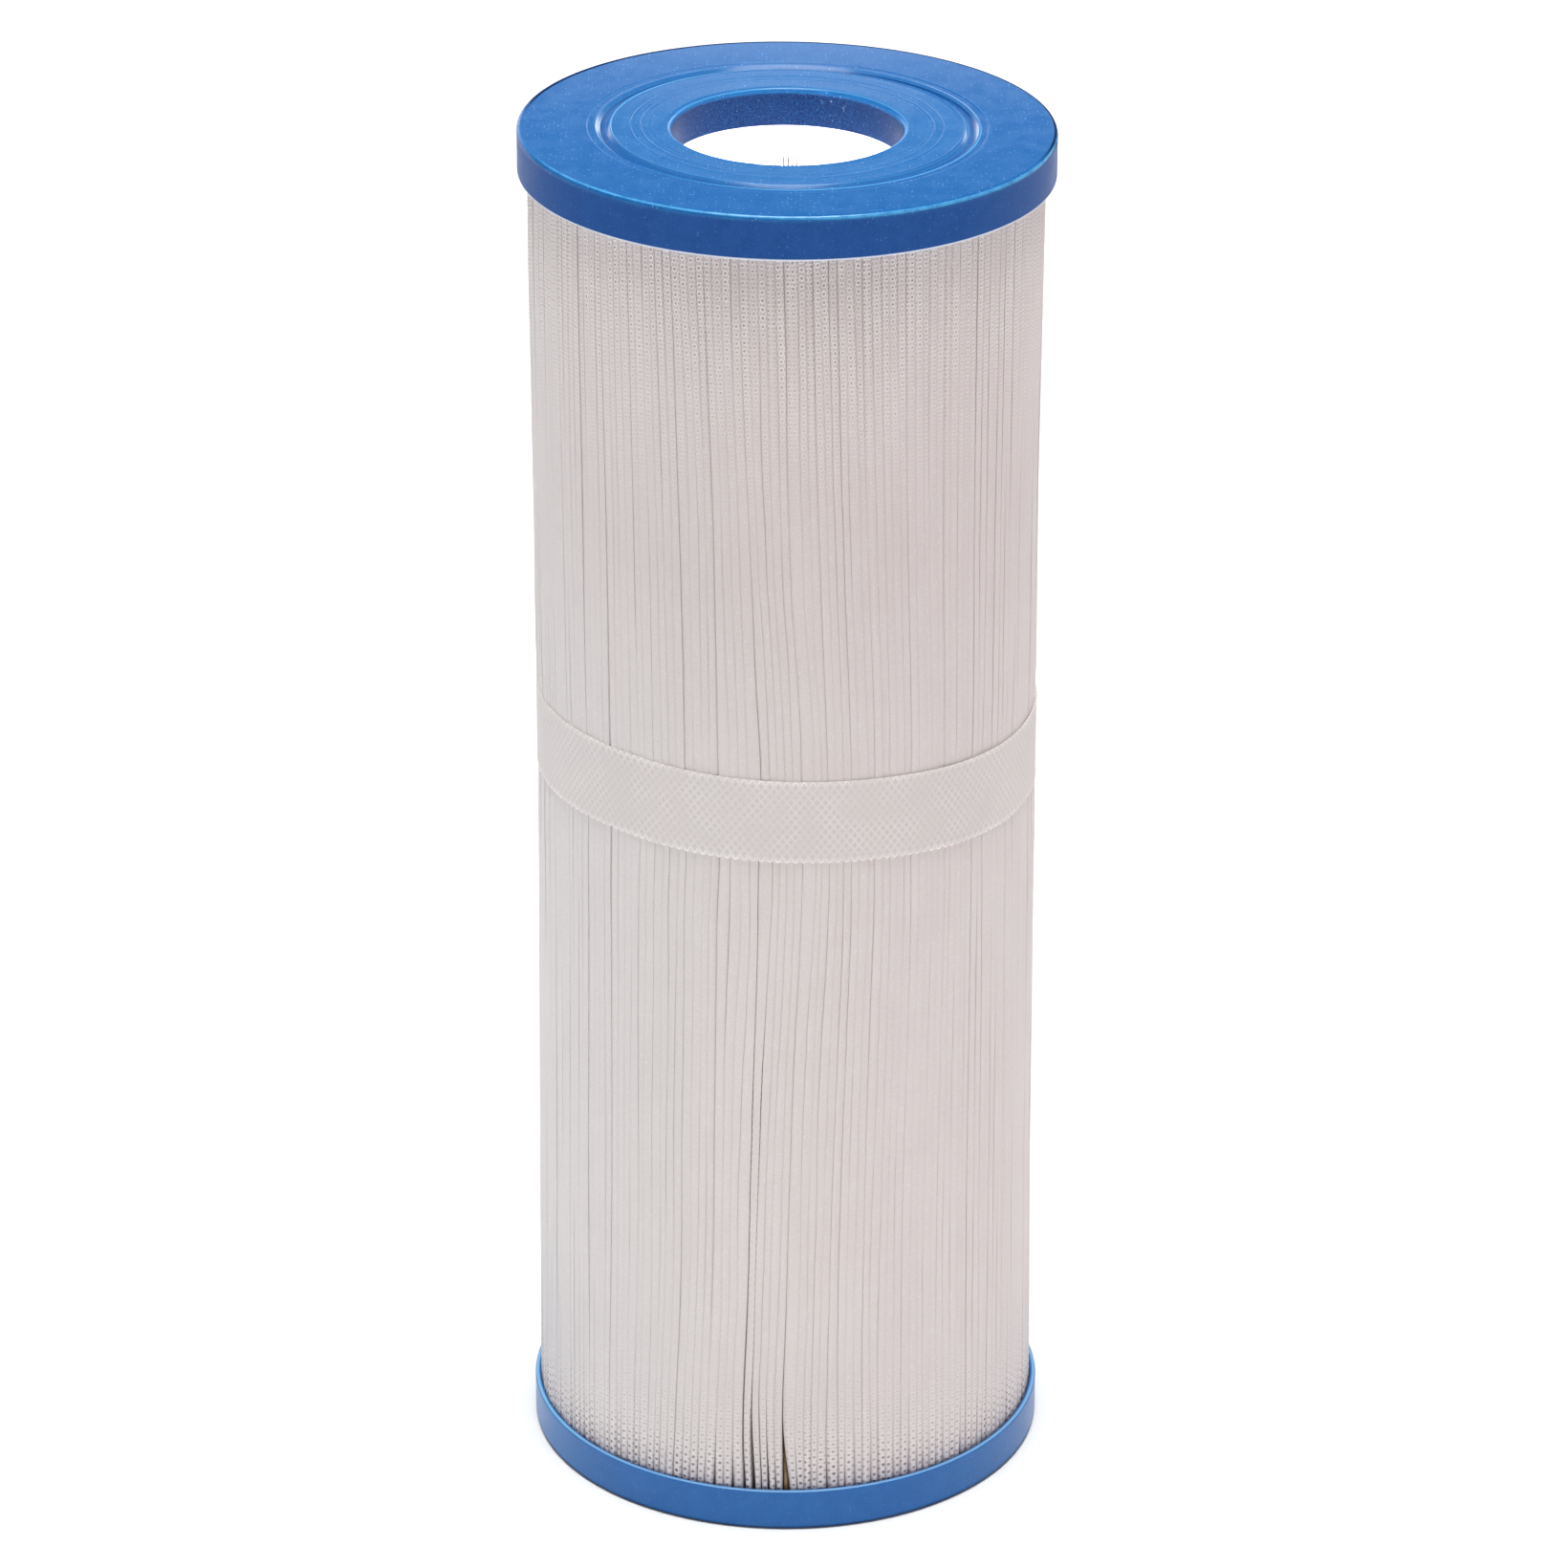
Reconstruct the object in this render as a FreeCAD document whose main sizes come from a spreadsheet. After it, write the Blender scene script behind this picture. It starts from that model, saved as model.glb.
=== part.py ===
import FreeCAD, Part
import math
import os

# Pleated pool and spa filter cartridge.
# Row frame: millimetres, +Z up along the cartridge's axis, origin at the centre of the
# bottom cap's outer face. The media's side seam faces -Y.
# Pieces: two cast end caps, a three-section perforated core, a pleated fabric sheet, the
# adhesive bead that closes the sheet's side seam, and a retaining band round the pleats.

doc = FreeCAD.newDocument("filter_cartridge")

# ---------------------------------------------------------------- driving dimensions
sheet = doc.addObject("Spreadsheet::Sheet", "dims")
SIZES = [
    ("overall_length", 338.1),      # 13-5/16 in
    ("cap_radius", 62.7),           # 4-15/16 in across
    ("bore_radius", 27.0),          # 2-1/8 in hole in both caps
    ("plate_thickness", 4.6),       # solid end plate of a cap
    ("top_rim_height", 10.7),       # skirt round the pleat ends
    ("bottom_rim_height", 10.5),
    ("collar_height", 9.3),         # bore wall, from the outer face inwards
    ("collar_outer", 28.8),         # outer radius of the bore collar
    ("rim_inner", 61.2),            # inner radius of the skirt
    ("edge_round", 1.0),            # outer edge of the face
    ("bore_round", 1.1),            # edge of the hole
    ("lip_round", 0.5),             # outer edge of the skirt's free end
    ("groove_inner", 41.0),         # ring groove in the outer face
    ("groove_outer", 44.5),
    ("groove_depth", 0.9),
    ("land_inner", 46.8),           # the outer land starts here, a hair higher
    ("land_step", 0.12),
    ("core_inner", 28.9),           # perforated centre core
    ("core_outer", 30.9),
    ("core_joint_radius", 29.9),    # spigot outside, socket inside
    ("core_joint_gap", 0.05),
    ("core_joint_length", 4.0),
    ("window_width", 8.0),          # openings of the core's cage
    ("window_height", 8.0),
    ("window_pitch", 11.2),
    ("window_first", 10.0),         # first window's lower edge above a section's foot
    ("windows_around", 16),
    ("pleat_count", 186),
    ("pleat_inner", 31.0),          # inner folds
    ("pleat_outer", 60.0),          # pleat tips
    ("tip_half_width", 0.94),
    ("tip_flat_half", 0.60),
    ("tip_shoulder", 0.40),
    ("fabric_thickness", 0.45),
    ("valley_half_gap", 0.03),
    ("seam_angle", 1.5),            # degrees left open between the sheet's two ends
    ("seam_outer", 56.0),           # outer edge of the seam bead
    ("seam_inner", 31.2),
    ("band_inner", 60.08),
    ("band_outer", 60.65),
    ("band_height", 20.4),
    ("band_middle", 187.8),         # height of the band's middle at the front
    ("band_roll", 2.6),             # degrees; the band sits a little askew, higher at -X
    ("band_pitch", 0.0),            # degrees; tilt towards the front
]
for row, (alias, value) in enumerate(SIZES, 1):
    sheet.set("A%d" % row, alias)
    sheet.set("B%d" % row, repr(value))
    sheet.setAlias("B%d" % row, alias)
doc.recompute()


def size(alias):
    return float(sheet.get(alias))


def plane(body, role):
    for feature in body.Origin.OriginFeatures:
        if feature.Role == role:
            return feature
    raise ValueError(role)


def new_sketch(body, name, role):
    sk = body.newObject("Sketcher::SketchObject", name)
    sk.AttachmentSupport = [(plane(body, role), "")]
    sk.MapMode = "FlatFace"
    return sk


def profile(sk, corners, expressions):
    """A closed outline of straight edges. Each corner has an X and a Y distance from the
    sketch's origin, driven by the spreadsheet. corners are the plain starting values."""
    n = len(corners)
    for i in range(n):
        a, b = corners[i], corners[(i + 1) % n]
        sk.addGeometry(Part.LineSegment(FreeCAD.Vector(a[0], a[1], 0),
                                        FreeCAD.Vector(b[0], b[1], 0)), False)
    import Sketcher
    for i in range(n):
        sk.addConstraint(Sketcher.Constraint("Coincident", i, 2, (i + 1) % n, 1))
    for i, (ex, ey) in enumerate(expressions):
        for kind, expr, value in (("DistanceX", ex, corners[i][0]),
                                  ("DistanceY", ey, corners[i][1])):
            if expr == "0":
                other = -2 if kind == "DistanceX" else -1
                sk.addConstraint(Sketcher.Constraint("PointOnObject", i, 1, other))
            else:
                k = sk.addConstraint(Sketcher.Constraint(kind, -1, 1, i, 1, value))
                sk.setExpression("Constraints[%d]" % k, expr)
    doc.recompute()


def revolve(body, sk, name):
    rev = body.newObject("PartDesign::Revolution", name)
    rev.Profile = sk
    rev.ReferenceAxis = (sk, ["V_Axis"])
    rev.Angle = 360.0
    doc.recompute()
    return rev


def edges_at(shape, radius, height):
    """Names of the circular edges about Z of that radius at that height."""
    found = []
    for i, e in enumerate(shape.Edges, 1):
        c = e.Curve
        if isinstance(c, Part.Circle) and abs(c.Radius - radius) < 1e-4 \
                and abs(c.Center.z - height) < 1e-4:
            found.append("Edge%d" % i)
    if not found:
        raise ValueError("no edge at r %g z %g" % (radius, height))
    return found


def fillet(body, base, name, picks, alias):
    f = body.newObject("PartDesign::Fillet", name)
    names = []
    for radius, height in picks:
        names += edges_at(base.Shape, radius, height)
    f.Base = (base, names)
    f.Radius = size(alias)
    f.setExpression("Radius", "dims." + alias)
    doc.recompute()
    return f


# ---------------------------------------------------------------- end caps
# A cap is drawn with its outer face at z = 0 and its skirt and bore collar pointing up.
# The top cap is the same casting turned over, with a skirt 0.2 mm taller.
def make_cap(label, rim_alias):
    body = doc.addObject("PartDesign::Body", label)
    body.Label = label
    sk = new_sketch(body, label + "_section", "XZ_Plane")
    z = size
    step = z("land_step")
    groove_mid = (z("groove_inner") + z("groove_outer")) / 2
    quarter = (z("groove_outer") - z("groove_inner")) / 4
    corners = [
        (z("bore_radius"), step),
        (z("groove_inner"), step),
        (groove_mid - quarter, z("groove_depth")),
        (groove_mid + quarter, z("groove_depth")),
        (z("groove_outer"), step),
        (z("land_inner"), step),
        (z("land_inner") + step, 0.0),
        (z("cap_radius"), 0.0),
        (z("cap_radius"), z(rim_alias)),
        (z("rim_inner"), z(rim_alias)),
        (z("rim_inner"), z("plate_thickness")),
        (z("collar_outer"), z("plate_thickness")),
        (z("collar_outer"), z("collar_height")),
        (z("bore_radius"), z("collar_height")),
    ]
    mid = "(dims.groove_inner + dims.groove_outer) / 2"
    qtr = "(dims.groove_outer - dims.groove_inner) / 4"
    expressions = [
        ("dims.bore_radius", "dims.land_step"),
        ("dims.groove_inner", "dims.land_step"),
        (mid + " - " + qtr, "dims.groove_depth"),
        (mid + " + " + qtr, "dims.groove_depth"),
        ("dims.groove_outer", "dims.land_step"),
        ("dims.land_inner", "dims.land_step"),
        ("dims.land_inner + dims.land_step", "0"),
        ("dims.cap_radius", "0"),
        ("dims.cap_radius", "dims." + rim_alias),
        ("dims.rim_inner", "dims." + rim_alias),
        ("dims.rim_inner", "dims.plate_thickness"),
        ("dims.collar_outer", "dims.plate_thickness"),
        ("dims.collar_outer", "dims.collar_height"),
        ("dims.bore_radius", "dims.collar_height"),
    ]
    profile(sk, corners, expressions)
    rev = revolve(body, sk, label + "_casting")
    f1 = fillet(body, rev, label + "_face_edge", [(size("cap_radius"), 0.0)], "edge_round")
    f2 = fillet(body, f1, label + "_hole_edge", [(size("bore_radius"), step)], "bore_round")
    f3 = fillet(body, f2, label + "_skirt_edge",
                [(size("cap_radius"), size(rim_alias))], "lip_round")
    body.Tip = f3
    doc.recompute()
    return body


bottom_cap = make_cap("bottom_end_cap", "bottom_rim_height")
top_cap = make_cap("top_end_cap", "top_rim_height")
# Turned over about X, so the face looks up at the cartridge's full length.
top_cap.Placement = FreeCAD.Placement(FreeCAD.Vector(0, 0, size("overall_length")),
                                      FreeCAD.Rotation(FreeCAD.Vector(1, 0, 0), 180))
top_cap.setExpression("Placement.Base.z", "dims.overall_length")
doc.recompute()


# ---------------------------------------------------------------- centre core
# Three moulded cage sections of equal length fill the space between the cap plates. The
# lower two have a spigot at the top, and the upper two have a socket at the foot.
SECTION = "(dims.overall_length - 2 * dims.plate_thickness) / 3"
section_length = (size("overall_length") - 2 * size("plate_thickness")) / 3


def make_core_section(label, spigot, socket, place):
    body = doc.addObject("PartDesign::Body", label)
    body.Label = label
    sk = new_sketch(body, label + "_wall", "XZ_Plane")
    ri, ro, rj = size("core_inner"), size("core_outer"), size("core_joint_radius")
    gap, jl, total = size("core_joint_gap"), size("core_joint_length"), section_length
    corners, expr = [], []
    if socket:
        corners += [(rj + gap, 0.0), (ro, 0.0)]
        expr += [("dims.core_joint_radius + dims.core_joint_gap", "0"), ("dims.core_outer", "0")]
    else:
        corners += [(ri, 0.0), (ro, 0.0)]
        expr += [("dims.core_inner", "0"), ("dims.core_outer", "0")]
    corners.append((ro, total))
    expr.append(("dims.core_outer", SECTION))
    if spigot:
        corners += [(rj, total), (rj, total + jl), (ri, total + jl)]
        expr += [("dims.core_joint_radius", SECTION),
                 ("dims.core_joint_radius", SECTION + " + dims.core_joint_length"),
                 ("dims.core_inner", SECTION + " + dims.core_joint_length")]
    else:
        corners.append((ri, total))
        expr.append(("dims.core_inner", SECTION))
    if socket:
        corners += [(ri, jl + 0.2), (rj + gap, jl + 0.2)]
        expr += [("dims.core_inner", "dims.core_joint_length + 0.2"),
                 ("dims.core_joint_radius + dims.core_joint_gap", "dims.core_joint_length + 0.2")]
    profile(sk, corners, expr)
    wall = revolve(body, sk, label + "_tube")
    solid = wall.Shape.Volume

    # One column of windows, cut outwards through the wall on one side only.
    import Sketcher
    holes = new_sketch(body, label + "_window_column", "YZ_Plane")
    w, h, p, first = (size(a) for a in ("window_width", "window_height", "window_pitch",
                                        "window_first"))
    rows = int((total - first - h - 6.0) // p) + 1
    for k in range(rows):
        low = first + k * p
        pts = [(-w / 2, low), (w / 2, low), (w / 2, low + h), (-w / 2, low + h)]
        base = 4 * k
        for j in range(4):
            a, b = pts[j], pts[(j + 1) % 4]
            holes.addGeometry(Part.LineSegment(FreeCAD.Vector(a[0], a[1], 0),
                                               FreeCAD.Vector(b[0], b[1], 0)), False)
        for j in range(4):
            holes.addConstraint(Sketcher.Constraint("Coincident", base + j, 2,
                                                    base + (j + 1) % 4, 1))
        for j, kind in enumerate(("Horizontal", "Vertical", "Horizontal", "Vertical")):
            holes.addConstraint(Sketcher.Constraint(kind, base + j))
        for kind, who, value, text in (
                ("DistanceX", (base, 1), -w / 2, "-dims.window_width / 2"),
                ("DistanceY", (base, 1), low, "dims.window_first + %d * dims.window_pitch" % k),
                ("DistanceX", (base + 2, 1), w / 2, "dims.window_width / 2"),
                ("DistanceY", (base + 2, 1), low + h,
                 "dims.window_first + %d * dims.window_pitch + dims.window_height" % k)):
            n = holes.addConstraint(Sketcher.Constraint(kind, -1, 1, who[0], who[1], value))
            holes.setExpression("Constraints[%d]" % n, text)
    doc.recompute()
    cut = body.newObject("PartDesign::Pocket", label + "_windows")
    cut.Profile = holes
    cut.Type = "Length"
    cut.Length = size("core_outer") + 2
    cut.setExpression("Length", "dims.core_outer + 2")
    doc.recompute()
    if not cut.Shape.Volume < solid - 1.0:
        cut.Reversed = True
        doc.recompute()
    one = solid - cut.Shape.Volume
    ring = body.newObject("PartDesign::PolarPattern", label + "_window_ring")
    ring.Originals = [cut]
    ring.Axis = (holes, ["V_Axis"])
    ring.Angle = 360.0
    ring.Occurrences = int(size("windows_around"))
    ring.setExpression("Occurrences", "dims.windows_around")
    body.Tip = ring
    doc.recompute()
    all_cut = solid - ring.Shape.Volume
    if abs(all_cut - one * size("windows_around")) > 0.02 * all_cut or one < 1.0:
        raise ValueError("%s: the windows cut %.1f mm3, one column %.1f" % (label, all_cut, one))
    body.Placement = FreeCAD.Placement(FreeCAD.Vector(0, 0, size("plate_thickness")
                                                      + place * section_length),
                                       FreeCAD.Rotation())
    body.setExpression("Placement.Base.z", "dims.plate_thickness + %d * %s" % (place, SECTION))
    doc.recompute()
    return body


core = [
    make_core_section("core_section_lower", True, False, 0),
    make_core_section("core_section_middle", True, True, 1),
    make_core_section("core_section_upper", False, True, 2),
]


# ---------------------------------------------------------------- pleated fabric
# One sheet of the stated thickness, folded out and in round the core. Its two ends stand
# side by side in the valley that faces -Y, where the seam bead joins them. The outline has
# thousands of edges, too many for a sketch, so the shape is set here from the sheet's cells.
def polar(r, degrees, aside=0.0):
    """A point at radius r and an angle, shifted sideways by a distance along the circle."""
    a = math.radians(degrees) + aside / r
    return FreeCAD.Vector(r * math.cos(a), r * math.sin(a), 0)


low = size("plate_thickness")
tall = size("overall_length") - 2 * low
count = int(size("pleat_count"))
seam = size("seam_angle")
pitch = (360.0 - seam) / count
thick, gap = size("fabric_thickness"), size("valley_half_gap")
r_in, r_out = size("pleat_inner"), size("pleat_outer")
half, flat, shoulder = size("tip_half_width"), size("tip_flat_half"), size("tip_shoulder")
start = -90.0 + seam / 2


def centre(i):
    return start + (i + 0.5) * pitch


def valley(i):
    return start + (i + 1) * pitch


outline = [polar(r_in, start, gap)]
for i in range(count):
    c = centre(i)
    outline += [polar(r_out - shoulder, c, -half), polar(r_out, c, -flat),
                polar(r_out, c, flat), polar(r_out - shoulder, c, half)]
    if i < count - 1:
        outline += [polar(r_in + thick, valley(i), -gap), polar(r_in + thick, valley(i), gap)]
outline.append(polar(r_in, valley(count - 1), -gap))
outline.append(polar(r_in, valley(count - 1), -gap - thick))
for i in range(count - 1, -1, -1):
    c = centre(i)
    outline += [polar(r_out - thick - 0.1, c, half - thick),
                polar(r_out - thick - 0.1, c, thick - half)]
    if i > 0:
        outline += [polar(r_in, valley(i - 1), gap + thick),
                    polar(r_in, valley(i - 1), -gap - thick)]
outline.append(polar(r_in, start, gap + thick))
outline.append(outline[0])
fabric_face = Part.Face(Part.makePolygon(outline))
media = doc.addObject("Part::Feature", "pleated_media")
media.Label = "pleated_media"
media.Shape = fabric_face.extrude(FreeCAD.Vector(0, 0, tall))
media.Placement = FreeCAD.Placement(FreeCAD.Vector(0, 0, low), FreeCAD.Rotation())

# The seam bead is a flat wedge of adhesive between the sheet's two end legs.
bead_line = [polar(size("seam_inner"), start), polar(size("seam_outer"), start),
             polar(size("seam_outer"), start - seam), polar(size("seam_inner"), start - seam)]
bead_line.append(bead_line[0])
seam_bead = doc.addObject("Part::Feature", "seam_adhesive")
seam_bead.Label = "seam_adhesive"
seam_bead.Shape = Part.Face(Part.makePolygon(bead_line)).extrude(FreeCAD.Vector(0, 0, tall))
seam_bead.Placement = FreeCAD.Placement(FreeCAD.Vector(0, 0, low), FreeCAD.Rotation())

# ---------------------------------------------------------------- retaining band
# A strip round the pleat tips. Its wall is upright, and its two edges lie in parallel
# planes that are a little askew, so it is a tube cut by a tilted slab.
outer = doc.addObject("Part::Cylinder", "band_outside")
outer.setExpression("Radius", "dims.band_outer")
outer.Height = 60.0
outer.Placement = FreeCAD.Placement(FreeCAD.Vector(0, 0, size("band_middle") - 30),
                                    FreeCAD.Rotation())
outer.setExpression("Placement.Base.z", "dims.band_middle - 30")
inner = doc.addObject("Part::Cylinder", "band_inside")
inner.setExpression("Radius", "dims.band_inner")
inner.Height = 62.0
inner.Placement = FreeCAD.Placement(FreeCAD.Vector(0, 0, size("band_middle") - 31),
                                    FreeCAD.Rotation())
inner.setExpression("Placement.Base.z", "dims.band_middle - 31")
tube = doc.addObject("Part::Cut", "band_tube")
tube.Base = outer
tube.Tool = inner
slab = doc.addObject("Part::Box", "band_slab")
slab.Length = 200.0
slab.Width = 200.0
slab.setExpression("Height", "dims.band_height")
turn = FreeCAD.Rotation(FreeCAD.Vector(0, 1, 0), size("band_roll")).multiply(
    FreeCAD.Rotation(FreeCAD.Vector(1, 0, 0), size("band_pitch")))
# The slab's middle plane passes through the band's middle at the front, (0, -r, middle).
front = FreeCAD.Vector(0, -size("band_outer"), size("band_middle"))
slab.Placement = FreeCAD.Placement(front - turn.multVec(FreeCAD.Vector(100, 40,
                                                                        size("band_height") / 2)),
                                   turn)
band = doc.addObject("Part::Common", "retaining_band")
band.Base = tube
band.Tool = slab
band.Label = "retaining_band"
doc.recompute()

# ---------------------------------------------------------------- checks and export
nodes = [top_cap, bottom_cap] + core + [media, seam_bead, band]
for obj in doc.Objects:
    if "Invalid" in obj.State or "Error" in obj.State:
        raise ValueError("%s is %s" % (obj.Name, obj.State))
os.makedirs("parts", exist_ok=True)
for obj in nodes:
    s = obj.Shape
    if s.isNull() or not s.isValid() or not s.Solids:
        raise ValueError(obj.Label + " has no valid solid")
for obj in nodes:
    s = obj.Shape
    s.exportStep("parts/%s.step" % obj.Label)
    b = s.BoundBox
    print("%-20s %8.1f mm3  z %.2f to %.2f  x %.2f to %.2f  faces %d" % (
        obj.Label, s.Volume, b.ZMin, b.ZMax, b.XMin, b.XMax, len(s.Faces)))
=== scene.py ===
"""Looks of the pleated filter cartridge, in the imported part's frame. Lengths are worked out in millimetres and scaled to metres."""
import math

import bpy
import numpy as np
from mathutils import Matrix, Vector


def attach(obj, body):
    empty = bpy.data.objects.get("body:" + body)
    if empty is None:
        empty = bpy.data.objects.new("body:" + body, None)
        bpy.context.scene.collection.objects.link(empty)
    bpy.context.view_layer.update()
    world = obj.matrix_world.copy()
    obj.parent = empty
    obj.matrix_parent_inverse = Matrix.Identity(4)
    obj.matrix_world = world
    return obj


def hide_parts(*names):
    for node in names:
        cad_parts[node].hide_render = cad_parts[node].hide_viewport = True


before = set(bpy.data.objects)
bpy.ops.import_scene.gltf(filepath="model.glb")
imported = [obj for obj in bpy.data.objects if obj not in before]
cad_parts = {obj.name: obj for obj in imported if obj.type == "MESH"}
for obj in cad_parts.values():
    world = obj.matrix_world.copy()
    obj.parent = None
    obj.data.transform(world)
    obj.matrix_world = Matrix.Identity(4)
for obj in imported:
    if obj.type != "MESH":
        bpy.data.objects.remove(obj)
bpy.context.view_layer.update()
MM = 0.001
rng = np.random.default_rng(186)

# ---------------------------------------------------------------- mesh tools


def to_object(name, verts, faces, uv=None, tail=(), uv2=None):
    """A smooth-shaded quad mesh from arrays in millimetres; tail holds extra n-gons."""
    me = bpy.data.meshes.new(name)
    verts = np.asarray(verts, float) * MM
    faces = np.asarray(faces, np.int32)
    loops = [faces.ravel()] + [np.asarray(t, np.int32) for t in tail]
    totals = [4] * len(faces) + [len(t) for t in tail]
    starts = np.concatenate([[0], np.cumsum(totals)[:-1]]).astype(np.int32)
    allv = np.concatenate(loops).astype(np.int32)
    me.vertices.add(len(verts))
    me.vertices.foreach_set("co", verts.ravel())
    me.loops.add(len(allv))
    me.loops.foreach_set("vertex_index", allv)
    me.polygons.add(len(totals))
    me.polygons.foreach_set("loop_start", starts)
    me.polygons.foreach_set("use_smooth", np.ones(len(totals), bool))
    me.update(calc_edges=True)
    if uv is not None:
        layer = me.uv_layers.new(name="sheet_mm")
        layer.data.foreach_set("uv", np.asarray(uv, float)[allv].ravel())
    if uv2 is not None:
        layer = me.uv_layers.new(name="pleat")
        layer.data.foreach_set("uv", np.asarray(uv2, float)[allv].ravel())
    me.validate()
    ob = bpy.data.objects.new(name, me)
    bpy.context.scene.collection.objects.link(ob)
    return ob


def grid(nu, nv, wrap_u=False, wrap_v=False):
    """Quads over a grid of nu columns and nv rows, vertex index u * nv + v."""
    u = np.arange(nu if wrap_u else nu - 1)
    v = np.arange(nv if wrap_v else nv - 1)
    uu, vv = np.meshgrid(u, v, indexing="ij")
    u1, v1 = (uu + 1) % nu, (vv + 1) % nv
    return np.stack([uu * nv + vv, u1 * nv + vv, u1 * nv + v1, uu * nv + v1], -1).reshape(-1, 4)


def smooth_noise(n, z, waves, low, high):
    """n independent smooth curves over z, unit spread, wavelengths from low to high mm."""
    out = np.zeros((n, len(z)))
    for _ in range(waves):
        wave = rng.uniform(low, high, (n, 1))
        out += np.sin(2 * np.pi * (z[None] / wave + rng.uniform(0, 1, (n, 1))))
    return out / math.sqrt(waves / 2)


def eased(z, knots, values):
    """Interpolation with its corners worn off."""
    fine = np.arange(-10.0, 350.0, 1.0)
    line = np.interp(fine, knots, values)
    kernel = np.exp(-0.5 * (np.arange(-12, 13) / 4.0) ** 2)
    line = np.convolve(np.pad(line, 12, mode="edge"), kernel / kernel.sum(), "valid")
    return np.interp(z, fine, line)


# ---------------------------------------------------------------- pleated fabric

PLEATS = 186
PITCH = 360.0 / PLEATS
CREASE = 9                       # boundary where the two ends of the fabric meet
INNER = 31.0

ROWS = np.array([4.8, 8, 12, 16, 20, 25, 30, 36, 42, 50, 60, 71, 82, 93, 104, 114, 124, 134, 143,
                 151, 159, 167, 175, 182, 190, 197, 203, 210, 218, 226, 234, 242, 250, 260,
                 271, 282, 293, 304, 315, 325, 333.4])

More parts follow.
